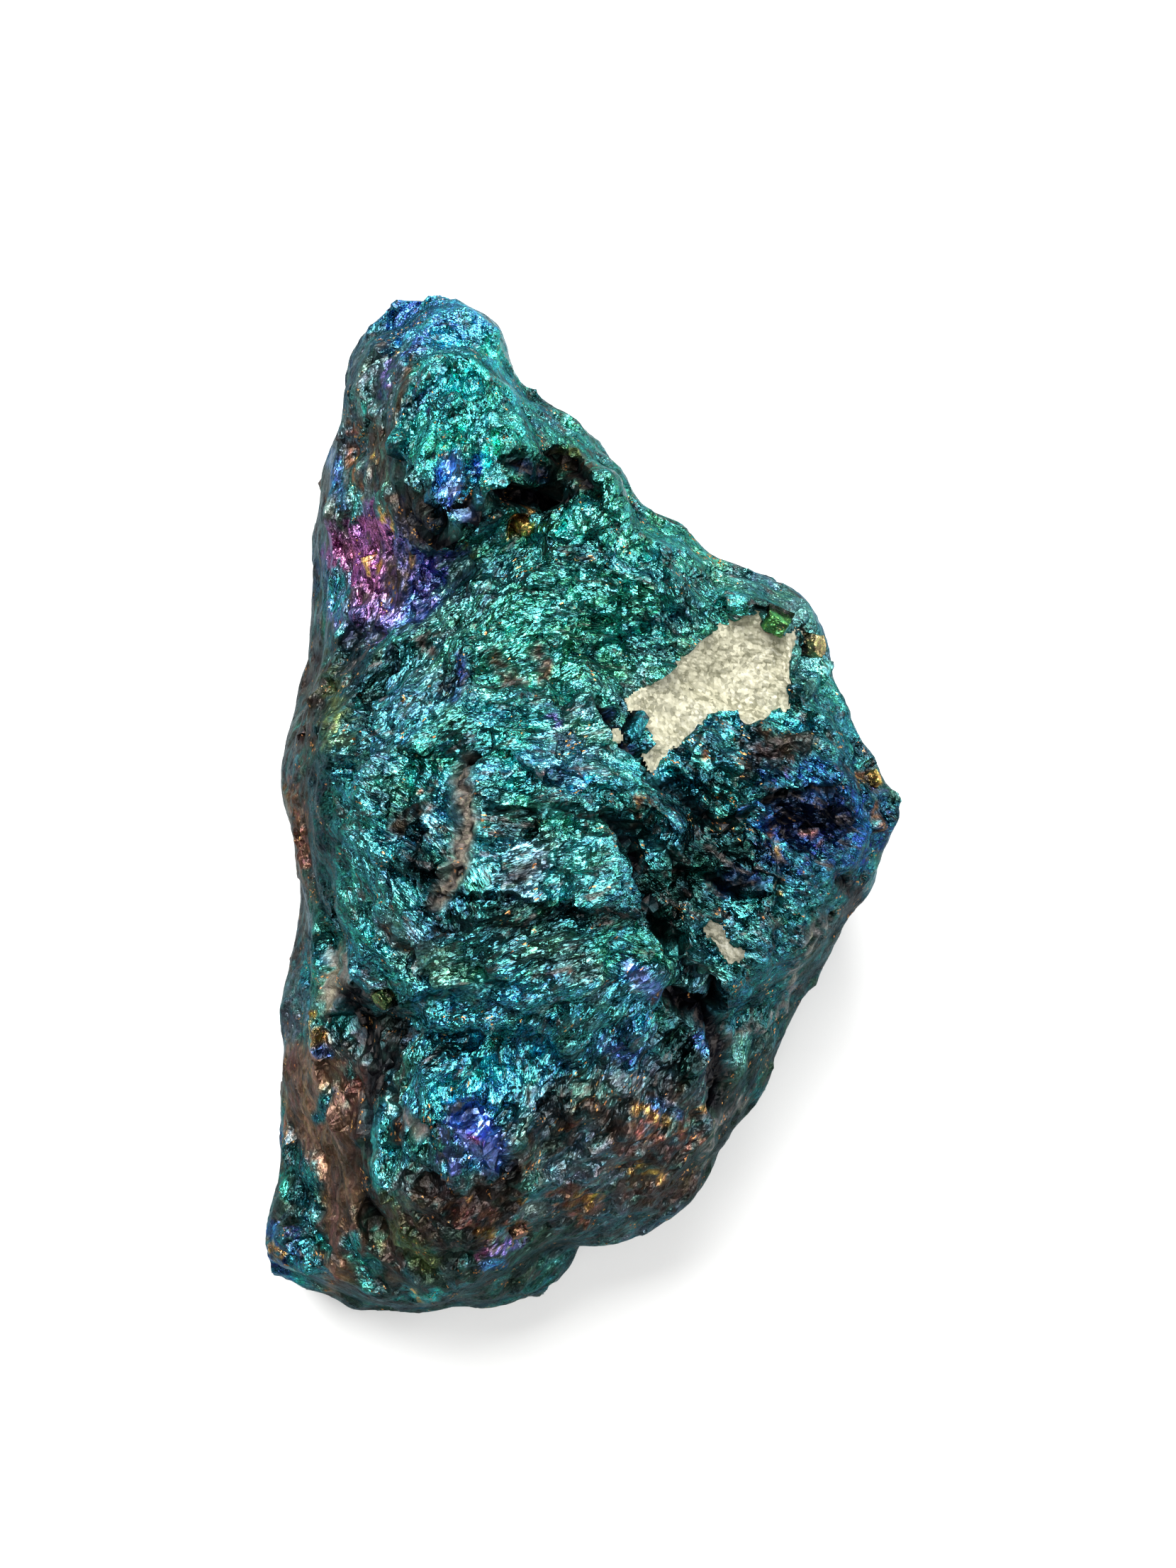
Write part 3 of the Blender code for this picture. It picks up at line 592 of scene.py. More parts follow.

# Streaks of tarnish: half width in millimetres and the pixels along the middle. How ragged and how
# soft their edges are is in half widths. The black streaks, and some deep green ones, are painted
# shade in cracks, hollows and under ledges.
STREAK_RAGGED = 0.6
STREAK_FADE = 0.6
STREAKS = [
    ("rust", 1.0, [(425, 1500), (440, 1545), (472, 1610), (482, 1680), (480, 1760), (486, 1820)]),
    ("rust", 0.9, [(412, 1495), (425, 1560), (450, 1612)]),
    ("rust", 0.6, [(455, 1490), (480, 1550), (495, 1600)]),
    ("dull green", 1.6, [(560, 1790), (640, 1810), (700, 1800)]),
    ("dull green", 1.3, [(700, 1800), (760, 1760), (800, 1730)]),
    ("dull green", 1.2, [(500, 1840), (580, 1855), (660, 1850)]),
    ("olive", 0.8, [(545, 1700), (570, 1740), (600, 1775)]),
    ("dull green", 0.8, [(640, 1740), (650, 1780)]),
    ("brown", 0.5, [(520, 1690), (550, 1740), (560, 1800)]),
    ("dull green", 1.0, [(1175, 1310), (1150, 1370), (1125, 1440)]),
    ("dull green", 0.8, [(1080, 1480), (1060, 1520), (1040, 1560)]),
    ("dull green", 1.0, [(1030, 1570), (1000, 1630), (960, 1680)]),
    ("dull green", 0.9, [(400, 1640), (410, 1690), (400, 1730)]),
    ("blue", 0.35, [(563, 455), (575, 440), (590, 432)]),
    ("blue", 0.3, [(575, 500), (590, 480), (600, 470)]),
    ("purple", 0.3, [(537, 555), (545, 530), (548, 515)]),
    ("blue", 0.35, [(466, 640), (475, 665), (478, 690), (487, 712)]),
    ("cyan", 0.4, [(560, 610), (570, 630), (572, 655)]), ("turquoise", 0.15, [(514, 568), (518, 580)]),
    ("brown", 0.45, [(528, 595), (535, 615), (532, 650), (535, 685)]),
    ("copper", 0.3, [(500, 600), (495, 650), (505, 690)]), ("gold", 0.12, [(546, 715), (550, 735)]),
    ("gold", 0.1, [(497, 640), (500, 646)]), ("gold", 0.1, [(528, 642), (531, 648)]),
    ("purple", 0.25, [(590, 545), (600, 560), (598, 580)]),
    ("brown", 0.15, [(545, 640), (552, 600), (585, 500)]),
    ("violet", 0.5, [(636, 655), (640, 690), (650, 718)]),
    ("blue", 0.4, [(618, 670), (622, 690), (630, 712)]), ("blue", 0.25, [(672, 655), (676, 672)]),
    # Painted shade: deep green in the hollow beside the shoulder
    ("deep green", 0.6, [(725, 640), (750, 655), (775, 665)]),
    ("navy", 0.4, [(742, 658), (755, 668), (768, 672)]),
    ("brown", 0.4, [(785, 640), (805, 660), (825, 685)]), ("olive", 0.2, [(787, 634), (815, 640)]),
    ("brown", 0.6, [(562, 705), (580, 725), (600, 750)]), ("blue", 0.15, [(610, 735), (622, 752)]),
    ("navy", 0.5, [(1095, 1145), (1130, 1140), (1180, 1130)]),
    ("navy", 0.5, [(1100, 1170), (1150, 1165), (1195, 1150)]),
    # Painted shade: a black line under the block's lower ledge
    ("black", 0.35, [(1005, 1242), (1040, 1245), (1070, 1248)]),
    # Painted shade: deep green on a shaded facet of the block
    ("deep green", 0.8, [(925, 1255), (950, 1270), (970, 1285)]),
    # Painted shade: a black line in the crack beside the blade
    ("black", 0.2, [(857, 999), (868, 1022), (887, 1056), (907, 1075)]),
    ("navy", 0.2, [(866, 1000), (880, 1030), (900, 1062)]), ("gold", 0.12, [(897, 1068), (909, 1074)]),
    ("copper", 0.25, [(900, 1128), (903, 1145), (907, 1160)]),
    ("gold", 0.18, [(1219, 1094), (1232, 1100), (1243, 1107)]),
    ("copper", 0.2, [(1222, 1088), (1238, 1096)]), ("purple", 0.15, [(1235, 1110), (1246, 1118)]),
    ("copper", 0.2, [(1236, 1130), (1240, 1160), (1238, 1175)]),
    ("copper", 0.15, [(1090, 1165), (1094, 1190)]), ("gold", 0.1, [(1098, 1195), (1102, 1215)]),
    ("gold", 0.1, [(1097, 1250), (1100, 1262)]), ("copper", 0.2, [(1143, 1175), (1155, 1185)]),
    # Painted shade: black in the notch on the right
    ("black", 0.4, [(1195, 1250), (1210, 1270), (1200, 1285)]),
    ("crust", 0.3, [(1160, 1304), (1136, 1328), (1120, 1368), (1104, 1420), (1072, 1448), (1036, 1460),
        (1020, 1484)]),
    ("crust", 0.2, [(1035, 1500), (1010, 1525), (990, 1545)]),
    ("crust", 0.25, [(1050, 1550), (1010, 1590), (990, 1640)]),
    ("gold", 0.2, [(443, 1428), (446, 1450), (452, 1468)]), ("blue", 0.25, [(450, 1478), (465, 1488)]),
    ("deep teal", 0.35, [(450, 1575), (458, 1558), (464, 1540)]),
    ("gold", 0.3, [(533, 1403), (548, 1412)]),
    # Painted shade: black down the valley left of the lobe
    ("black", 0.7, [(500, 1410), (520, 1450), (540, 1490), (530, 1530)]),
    ("brown", 0.35, [(556, 1550), (562, 1580), (560, 1610)]),
    ("grey", 0.3, [(578, 1570), (588, 1590), (592, 1603)]),
    ("sky", 0.4, [(632, 1590), (645, 1612), (672, 1645)]),
    ("violet", 0.9, [(650, 1575), (668, 1600), (694, 1632)]),
    ("magenta", 0.2, [(664, 1606), (680, 1612)]),
    ("brown", 0.8, [(600, 1690), (650, 1710), (700, 1700)]),
    ("copper", 0.3, [(630, 1705), (665, 1722), (700, 1715)]),
    ("gold", 0.16, [(738, 1695), (752, 1699)]), ("copper", 0.35, [(719, 1733), (740, 1733)]),
    ("gold", 0.14, [(656, 1698), (663, 1702)]), ("gold", 0.25, [(673, 1736), (693, 1740)]),
    ("gold", 0.3, [(785, 1700), (815, 1695), (845, 1690)]),
    ("copper", 0.5, [(780, 1690), (815, 1705), (825, 1722)]),
    ("slate", 0.5, [(750, 1708), (790, 1716)]), ("magenta", 0.2, [(677, 1768), (692, 1758)]),
    ("purple", 0.35, [(698, 1762), (715, 1752), (733, 1746)]),
    ("blue", 0.25, [(688, 1784), (705, 1778)]),
    ("brown", 0.35, [(565, 1710), (600, 1740), (625, 1760)]), ("blue", 0.3, [(380, 1732), (392, 1745)]),
    ("gold", 0.3, [(376, 1756), (394, 1772)]), ("purple", 0.25, [(412, 1730), (420, 1742)]),
    ("turquoise", 0.2, [(404, 1775), (415, 1795), (426, 1810)]),
    ("turquoise", 0.3, [(450, 1745), (468, 1762)]),
    ("turquoise", 0.3, [(498, 1745), (505, 1780), (518, 1815)]),
    ("turquoise", 0.25, [(585, 1828), (600, 1834), (614, 1825)]),
    ("gold", 0.15, [(584, 1818), (592, 1838)]), ("turquoise", 0.2, [(400, 1660), (408, 1690)]),
    ("deep teal", 0.5, [(410, 1620), (425, 1660), (430, 1700)]),
    ("blue", 0.4, [(985, 1462), (998, 1480), (1008, 1498)]),
    ("deep green", 0.6, [(950, 1460), (965, 1490), (975, 1515)]),
    ("gold", 0.3, [(900, 1562), (930, 1580), (950, 1592)]),
    ("copper", 0.5, [(905, 1585), (940, 1600), (975, 1610)]),
    ("blue", 0.3, [(926, 1556), (945, 1566), (958, 1574)]), ("gold", 0.15, [(985, 1562), (998, 1558)]),
    ("gold", 0.25, [(890, 1660), (905, 1650), (930, 1662), (950, 1680)]),
    ("brown", 0.8, [(890, 1680), (930, 1690), (965, 1670)]),
    ("brown", 0.6, [(830, 1540), (850, 1570), (870, 1600)]),
    ("copper", 0.3, [(800, 1590), (815, 1570), (835, 1545)]),
    ("violet", 0.4, [(893, 1368), (905, 1385), (922, 1400)]),
    ("blue", 0.4, [(850, 1475), (870, 1480), (890, 1490)]),
    ("copper", 0.25, [(895, 1398), (896, 1404)]), ("gold", 0.12, [(1005, 1395), (1010, 1412)]),
    ("copper", 0.15, [(800, 1370), (812, 1376)]), ("navy", 0.35, [(640, 985), (655, 960), (650, 935)]),
    ("brown", 0.4, [(556, 1170), (575, 1150), (600, 1140)]),
    ("slate", 0.5, [(720, 1240), (745, 1225), (760, 1215)]),
    ("purple", 0.25, [(770, 1000), (785, 1020), (790, 1035)]),
    ("brown", 0.35, [(755, 915), (770, 935), (765, 960)]), ("brown", 0.3, [(590, 905), (605, 915)]),
    ("brown", 0.4, [(700, 930), (715, 950), (735, 965)]), ("copper", 0.15, [(752, 1080), (765, 1092)]),
    ("copper", 0.2, [(815, 1088), (828, 1098)]), ("gold", 0.1, [(710, 1214), (713, 1217)]),
    ("copper", 0.18, [(590, 1120), (604, 1118)]), ("copper", 0.1, [(648, 1047), (652, 1050)]),
    ("brown", 0.35, [(1045, 1090), (1075, 1055), (1110, 1045)]),
    ("purple", 0.12, [(1110, 1085), (1114, 1098)]), ("copper", 0.2, [(995, 1065), (1005, 1072)]),
    ("brown", 0.3, [(590, 1355), (560, 1330), (545, 1305)]),
]

# Tarnish that wanders over the whole stone, most of all down its sides and back: cloud size, seed
WANDERING = [
    ("slate", 5.0, 31), ("brown", 3.5, 32), ("copper", 4.0, 33), ("blue", 3.0, 34), ("deep teal", 4.0, 35),
]
WANDER_ON_FACE = 0.22
WANDER_FROM = 0.05
WANDER_FADE = 0.35
WANDER_MOST = 0.85
# Films of tarnish are worn thin in spots: size and seed of the spots, and the least film left in them
WORN = [(0.5, 21), (0.8, 22), (0.35, 23)]
WEAR = 0.7
WORN_FROM = 0.9
AREA_LEAST = 0.4
STREAK_LEAST = 0.2
# Tarnishes that lie in broken specks rather than in films, and how many specks and how sharp
BROKEN = ("gold", "copper", "magenta", "purple", "crust")
BROKEN_SPREAD = 0.1
BROKEN_EDGE = 4
# Black specks in the groove: size and seed, and how many and how sharp
GROOVE_SPECKS = (0.3, 8)
GROOVE_SPECKS_SPREAD = 0.15
GROOVE_SPECKS_EDGE = 2.2
# How strongly the painted shade blackens cracks
CRACK_SHADE_GAIN = 1.7


def look_of(name):
    """A tarnish's red, green and blue, then its foil crumpling, roughness and metal."""
    colour, *finish = TARNISH[name]
    return np.array([*colour, *finish])


def stain_and_shade(looks, name, share):
    """Move the looks of all points towards a named tarnish's by each point's share; black is painted shade.
    """
    looks += (look_of(name) - looks) * share[:, None]


looks = np.tile(look_of("teal"), (len(points), 1))
tint, finish = looks[:, :3], looks[:, 3:]
around = np.maximum(1 - front, WANDER_ON_FACE)
for name, size, seed in WANDERING:
    share = np.clip((cloudy(points, size, seed) - WANDER_FROM) / WANDER_FADE, 0, WANDER_MOST)
    stain_and_shade(looks, name, share * around)
worn = [cloudy(points, size, seed) * WEAR for size, seed in WORN]
for name, *box in AREAS:
    film = np.clip(WORN_FROM + worn[len(name) % len(worn)], AREA_LEAST, 1)
    stain_and_shade(looks, name, by_plate(small, box) * seen * film)
for name, half_width, line in STREAKS:
    film = np.clip(WORN_FROM + worn[len(name) % len(worn)], STREAK_LEAST, 1)
    if name in BROKEN:
        film = np.clip((worn[2] + BROKEN_SPREAD) * BROKEN_EDGE, 0, 1)
    within = half_width - np.abs(line_gap(pixels, line)) - ragged * half_width * STREAK_RAGGED
    share = np.clip(within / (STREAK_FADE * half_width) + 0.5, 0, 1)
    stain_and_shade(looks, name, share * seen * film)
tint *= np.clip(shades ** (1 + SIDE_CONTRAST * (1 - front)), *SHADE_RANGE)[:, None]
tint[:, 1] *= 1 - np.clip(hues, 0, HUE_MOST) * LESS_GREEN
tint[:, 2] *= 1 + np.clip(hues, -HUE_MOST, 0) * LESS_BLUE
# Painted light and shade: the colour of lit facets is made lighter and that of shaded facets darker
for gain, boxes in ((PAINTED_LIGHT_GAIN, LIT), (PAINTED_SHADE_GAIN, SHADED)):
    for box in boxes:
        tint *= 1 + (gain - 1) * (by_plate(medium, box) * front)[:, None]
# Painted shade: the colour darkens where the skin turns away from the camera
tint *= (STEEP_PAINTED_SHADE + (1 - STEEP_PAINTED_SHADE) * np.clip(facing * STEEP_SHADE_FADE, 0, 1))[:, None]
groove_specks = np.clip(GROOVE_SPECKS_SPREAD + cloudy(points, *GROOVE_SPECKS) * GROOVE_SPECKS_EDGE, 0, 1)
stain_and_shade(looks, "clay", grooved)
stain_and_shade(looks, "black", grooved * groove_specks)
# Painted shade: the insides of cracks and the recess round the quartz are painted black
stain_and_shade(looks, "black", np.clip(crack_shade * CRACK_SHADE_GAIN, 0, 1))
stain_and_shade(looks, "black", in_window)


def give(mesh, name, kind, domain, values):
    """Store values on a mesh, a row for each point or corner, for its material to read."""
    field = "color" if kind == "FLOAT_COLOR" else "vector"
    mesh.attributes.new(name, kind, domain).data.foreach_set(field, values.ravel())


# The colours stored here are the tarnishes together with the painted light and painted shade laid over them
# above
give(mesh, "tarnish", "FLOAT_COLOR", "POINT", np.column_stack([tint, np.ones(len(tint))]))
give(mesh, "finish", "FLOAT_VECTOR", "POINT", finish)

# Flakes are drawn out along the grain, less on the crown, whose outline is in pixels, and not at all
# where the skin stands upright. Each plate's flakes are cut from another place of the pattern.
FLAKE_STRETCH = 2.6
CROWN_STRETCH = 1.4
STRETCH_GAIN = 1.6
STRETCH_FROM = 0.3
PATTERN_SIZE = 100
CROWN = [(480, 380), (740, 380), (780, 560), (860, 640), (860, 720), (600, 780), (430, 760)]

corners = np.empty(len(mesh.loops), dtype=np.int64)
mesh.loops.foreach_get("vertex_index", corners)
starts = np.empty(len(mesh.polygons), dtype=np.int64)
mesh.polygons.foreach_get("loop_start", starts)
counts = np.empty(len(mesh.polygons), dtype=np.int64)
mesh.polygons.foreach_get("loop_total", counts)
plate = np.repeat(large.nearest[corners[starts]], counts)
away = points[corners] - large.centres[plate]
crown = inside(large.pixels, CROWN) > 0
longer = np.where(crown, CROWN_STRETCH, FLAKE_STRETCH)
longer = (1 + (longer - 1) * np.clip(large.up[:, 2] * STRETCH_GAIN - STRETCH_FROM, 0, 1))[plate]
offsets = large.rng.uniform(0, PATTERN_SIZE, (len(large.centres), 3))
flake_place = np.column_stack([
    (away * large.along[plate]).sum(axis=1) / longer,
    (away * large.across[plate]).sum(axis=1),
    (away * large.up[plate]).sum(axis=1),
]) + offsets[plate]
give(mesh, "flake", "FLOAT_VECTOR", "CORNER", flake_place)

# The ore's finish. Flakes lie at so many to the millimetre, each leaning its own way by up to so much,
# and ripples and grime are drawn out along the grain. Dark gaps run between the large flakes, the foil
# is teal even seen edge on, and a thin clear film lies over it.
FLAKES = [(6.5, 0.28), (13.0, 0.22)]
DRAWN_OUT = (0.6, 1, 1)
RIPPLE_DEPTH = 0.1
EDGE_TEAL = (0.22, 0.38, 0.42, 1)
FLAKE_GAP = 0.12
FLAKE_GAP_SHADE = 0.38
GRIME = (0.065, 0.055, 0.052, 1)
GRIME_ROUGHER = 0.2
COPPER_SPECK = (0.45, 0.17, 0.07, 1)
BRASS_SPECK = (0.45, 0.27, 0.09, 1)
FILM = 0.12
FILM_ROUGHNESS = 0.15


def new_material(name):
    """A new material with its nodes and its surface shader."""
    material = bpy.data.materials.new(name)
    material.use_nodes = True
    return material, material.node_tree, material.node_tree.nodes["Principled BSDF"]


def add(tree, kind, inputs=None, **settings):
    """A new node, with its settings, and its inputs given as values or as other nodes' outputs."""
    node = tree.nodes.new(f"ShaderNode{kind}")
    for name, value in settings.items():
        setattr(node, name, value)
    for name, value in (inputs or {}).items():
        if isinstance(value, bpy.types.NodeSocket):
            tree.links.new(value, node.inputs[name])
        else:
            node.inputs[name].default_value = value
    return node


def vector_math(tree, operation, first, second):
    """Two vectors, or a vector and a scale, put together."""
    second_input = "Scale" if operation == "SCALE" else 1
    node = add(tree, "VectorMath", {0: first, second_input: second}, operation=operation)
    return node.outputs[0]


def ore_material():
    material, tree, surface = new_material("tarnished ore")
    surface.inputs["Specular Tint"].default_value = EDGE_TEAL
    place = add(tree, "Attribute", attribute_name="flake").outputs["Vector"]
    tint = add(tree, "Attribute", attribute_name="tarnish").outputs["Color"]
    finish = add(tree, "Attribute", attribute_name="finish").outputs["Vector"]
    finish = add(tree, "SeparateXYZ", {0: finish})
    drawn = vector_math(tree, "MULTIPLY", place, DRAWN_OUT)

    # Crumpling: ripples along the grain, then large and small flakes that lean each their own way
    ripple = add(tree, "TexNoise", {"Vector": drawn, "Scale": 7.0, "Detail": 2.0, "Roughness": 0.6})
    bump = add(tree, "Bump", {"Height": ripple.outputs["Fac"], "Strength": finish.outputs["X"],
                              "Distance": RIPPLE_DEPTH * MM})
    shades = []
    leans = []
    for scale, lean in FLAKES:
        cells = add(tree, "TexVoronoi", {"Vector": place, "Scale": scale})
        shades.append(cells.outputs["Color"])
        middle = vector_math(tree, "SUBTRACT", cells.outputs["Color"], (0.5, 0.5, 0.5))
        leans.append(vector_math(tree, "SCALE", middle, lean * 2))
    lean = vector_math(tree, "SCALE", vector_math(tree, "ADD", *leans), finish.outputs["X"])
    normal = vector_math(tree, "ADD", bump.outputs["Normal"], lean)
    normal = add(tree, "VectorMath", {0: normal}, operation="NORMALIZE").outputs[0]
    tree.links.new(normal, surface.inputs["Normal"])
    surface.inputs["Coat Weight"].default_value = FILM
    surface.inputs["Coat Roughness"].default_value = FILM_ROUGHNESS
    tree.links.new(normal, surface.inputs["Coat Normal"])

    # Colour: each flake a little off its neighbours, with thin brown grime drawn out along the grain
    shade = add(tree, "SeparateXYZ", {0: shades[0]})
    hue = add(tree, "MapRange", {"Value": shade.outputs["X"], "To Min": 0.465, "To Max": 0.545})
    value = add(tree, "MapRange", {"Value": shade.outputs["Y"], "To Min": 0.6, "To Max": 1.4})
    rim = add(tree, "TexVoronoi", {"Vector": place, "Scale": FLAKES[0][0]}, feature="DISTANCE_TO_EDGE")
    line = add(tree, "MapRange", {"Value": rim.outputs["Distance"], "From Max": FLAKE_GAP,
                                  "To Min": FLAKE_GAP_SHADE})
    value = add(tree, "Math", {0: value.outputs[0], 1: line.outputs[0]}, operation="MULTIPLY")
    colour = add(tree, "HueSaturation", {"Hue": hue.outputs[0], "Value": value.outputs[0],
                                         "Color": tint})
    colour = add(tree, "MixRGB", {"Fac": finish.outputs["X"], "Color1": tint,
                                  "Color2": colour.outputs[0]})
    streaks = add(tree, "TexNoise", {"Vector": drawn, "Scale": 2.0, "Detail": 4.0, "Roughness": 0.65})
    grime = add(tree, "MapRange", {"Value": streaks.outputs["Fac"], "From Min": 0.54, "From Max": 0.66,
                                   "To Max": 0.85})
    colour = add(tree, "MixRGB", {"Fac": grime.outputs[0], "Color1": colour.outputs[0],
                                  "Color2": GRIME})

    # Here and there in clumps, a small flake is bare copper or brass
    chance = add(tree, "SeparateXYZ", {0: shades[1]})
    clumps = add(tree, "TexNoise", {"Vector": place, "Scale": 0.9, "Detail": 2.0})
    rare = add(tree, "MapRange", {"Value": clumps.outputs["Fac"], "From Min": 0.58, "From Max": 0.75,
                                  "To Min": 1.0, "To Max": 0.86})
    speck = add(tree, "Math", {0: chance.outputs["Z"], 1: rare.outputs[0]}, operation="GREATER_THAN")
    metal_tint = add(tree, "MixRGB", {"Fac": chance.outputs["X"], "Color1": COPPER_SPECK,
                                      "Color2": BRASS_SPECK})
    colour = add(tree, "MixRGB", {"Fac": speck.outputs[0], "Color1": colour.outputs[0],
                                  "Color2": metal_tint.outputs[0]})
    tree.links.new(colour.outputs[0], surface.inputs["Base Color"])
    roughness = add(tree, "Math", {0: grime.outputs[0], 1: GRIME_ROUGHER, 2: finish.outputs["Y"]},
                    operation="MULTIPLY_ADD")
    tree.links.new(roughness.outputs[0], surface.inputs["Roughness"])
    tree.links.new(finish.outputs["Z"], surface.inputs["Metallic"])
    return material


ore = ore_material()
mesh.materials.clear()
mesh.materials.append(ore)
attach(stone, "root")
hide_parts("chalcopyrite_lump")


# The quartz: three grains of milky white vein quartz that the ore grew around. The window and the
# speck show where the ore broke away, each a slab with a sugary broken top set into its recess, and
# the third is a small white crumb that stands up out of the skin.
GRAIN_OUTLINE = [(864, 1033), (868, 1033), (872, 1039), (872, 1044), (868, 1043)]
# Outline, how far the top lies under the skin, and kind
QUARTZ = {
    "quartz_window": (WINDOW, 0.2, "milky quartz"),
    "quartz_speck": (SPECK, 0.25, "dull quartz"),
    "quartz_grain": (GRAIN_OUTLINE, -0.15, "milky quartz"),
}
QUARTZ_DARK = (0.16, 0.155, 0.10)
QUARTZ_LIGHT = (0.43, 0.41, 0.30)
QUARTZ_SHADES = {"milky quartz": 1.0, "dull quartz": 0.5}
QUARTZ_CLOUDS = 1.1
QUARTZ_GRAINS = 5.5
QUARTZ_GRAIN_SHARE = 0.42
QUARTZ_GRAIN_DEPTH = 0.09
QUARTZ_ROUGHNESS = 0.45
# Pixels between the points of a slab's top, and how far past the outline they start
QUARTZ_STEP = 3
QUARTZ_MARGIN = 8
QUARTZ_THICK = 1.2
QUARTZ_TUCK = 0.25
# Bumps of the broken top: how many to the millimetre, and how high
QUARTZ_BUMPS = [(2.2, 0.10), (5.5, 0.07)]


def quartz_material(name, shade):
    material, tree, surface = new_material(name)
    place = add(tree, "TexCoord").outputs["Object"]
    milk = add(tree, "TexNoise", {"Vector": place, "Scale": QUARTZ_CLOUDS / MM, "Detail": 3.0})
    grains = add(tree, "TexVoronoi", {"Vector": place, "Scale": QUARTZ_GRAINS / MM})
    grain = add(tree, "SeparateXYZ", {0: grains.outputs["Color"]})
    stir = add(tree, "MixRGB", {"Fac": QUARTZ_GRAIN_SHARE, "Color1": milk.outputs["Fac"],
                                "Color2": grain.outputs["X"]})
    ramp = add(tree, "ValToRGB", {"Fac": stir.outputs[0]})
    dark, light = ramp.color_ramp.elements
    dark.position = 0.3
    dark.color = (*np.multiply(QUARTZ_DARK, shade), 1)
    light.position = 0.68
    light.color = (*np.multiply(QUARTZ_LIGHT, shade), 1)
    tree.links.new(ramp.outputs[0], surface.inputs["Base Color"])
    surface.inputs["Roughness"].default_value = QUARTZ_ROUGHNESS
    bump = add(tree, "Bump", {"Height": grains.outputs["Color"], "Strength": 0.9,
                              "Distance": QUARTZ_GRAIN_DEPTH * MM})
    tree.links.new(bump.outputs[0], surface.inputs["Normal"])
    return material


def sight_on(pixel):
    """Where the line of sight through a pixel of the photograph meets the skin, and its normal there."""
    eye = Vector((*VIEW_OVER, VIEW_HEIGHT))
    reach = PHOTO_HIGH / 2 / np.tan(VIEW_ANGLE / 2)
    way = Vector((pixel[0] - PHOTO_WIDE / 2, PHOTO_HIGH / 2 - pixel[1], -reach)).normalized()
    return skin_tree.ray_cast(eye, way)[:2]


def pixel_range(values):
    """Evenly spaced pixels that reach past a slab's outline on both sides."""
    return range(min(values) - QUARTZ_MARGIN, max(values) + QUARTZ_MARGIN + 1, QUARTZ_STEP)


kinds = {name: quartz_material(name, shade) for name, shade in QUARTZ_SHADES.items()}
for name, (outline, sunk, kind) in QUARTZ.items():
    columns, rows = (pixel_range(values) for values in zip(*outline))
    grid = bmesh.new()
    spots = np.array([(column, row) for row in rows for column in columns], dtype=float)
    kept = inside(spots, outline) > -QUARTZ_TUCK
    tops = {}
    for index, pixel in enumerate(spots):
        if kept[index]:
            place, up = sight_on(pixel)
            grain = sum(noise.noise(place * many) * high for many, high in QUARTZ_BUMPS)
            tops[index] = grid.verts.new((place + up * (grain - sunk)) * MM)
    wide = len(columns)
    for index in tops:
        square = (index, index + wide, index + wide + 1, index + 1)
        if all(corner in tops for corner in square):
            grid.faces.new([tops[corner] for corner in square])
    loose = [vertex for vertex in grid.verts if not vertex.link_faces]
    bmesh.ops.delete(grid, geom=loose, context="VERTS")
    grown = bmesh.ops.extrude_face_region(grid, geom=grid.faces[:])
    deep = [item for item in grown["geom"] if isinstance(item, bmesh.types.BMVert)]
    bmesh.ops.translate(grid, verts=deep, vec=(0, 0, -QUARTZ_THICK * MM))
    bmesh.ops.recalc_face_normals(grid, faces=grid.faces[:])
    slab_mesh = bpy.data.meshes.new(name)
    grid.to_mesh(slab_mesh)
    grid.free()
    slab = placed(name, slab_mesh)
    slab_mesh.materials.append(kinds[kind])
    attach(slab, "root")
    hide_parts("chalcopyrite_lump")


# Small crystals that grew on the ore in its hollows and along its edges, flat-faced and tarnished to
# their own colours, each half sunk in the skin. Pixel, length, width and height in millimetres, turn
# in degrees, sides, tarnish
CRYSTALS = {
    "green_crystal": ((1095, 878), 1.55, 1.3, 0.55, -8, 4, "green"),
    "brassy_crystal": ((1146, 911), 1.25, 1.05, 0.55, 20, 7, "brass"),
    "sunset_crystal": ((735, 738), 0.95, 0.85, 0.7, 60, 5, "gold"),
    "blue_blade": ((896, 1024), 2.3, 0.8, 0.45, -62, 4, "cyan"),
    "olive_crystal": ((543, 1407), 1.15, 0.85, 0.5, 10, 5, "olive"),
    "copper_crystal": ((730, 1733), 0.95, 0.75, 0.45, -10, 6, "copper"),
    "orange_crystal": ((1231, 1099), 1.0, 0.5, 0.4, -25, 5, "gold"),
}
# The corners of a form lie further out than its flats, so a crystal is drawn larger than it measures
CRYSTAL_CORNERS = 1.3
CRYSTAL_TAPER = 0.72
CRYSTAL_BEVEL = 0.07
CRYSTAL_CUTS = 3
# Uneven growth of the faces: waves to the millimetre, how far they push, and where a second set is read
GROWTH_MANY = 3
GROWTH_FAR = 0.06
GROWTH_SHIFT = Vector((9, 9, 9))
CRYSTAL_GLOW = 1.35
CRYSTAL_FINISH = (0.8, 0.3, 1.0)
# Dark flecks in a crystal's colour: size and seed, middle, gain and range, and the painted shade that
# darkens it at its foot
FLECKS = (0.2, 41)
FLECK_MIDDLE = 0.8
FLECK_GAIN = 0.7
FLECK_RANGE = (0.1, 1.6)
FOOT_SHADE_UNDER = 0.05
FOOT_SHADE_FADE = 0.5
FOOT_SHADE_LEAST = 0.05

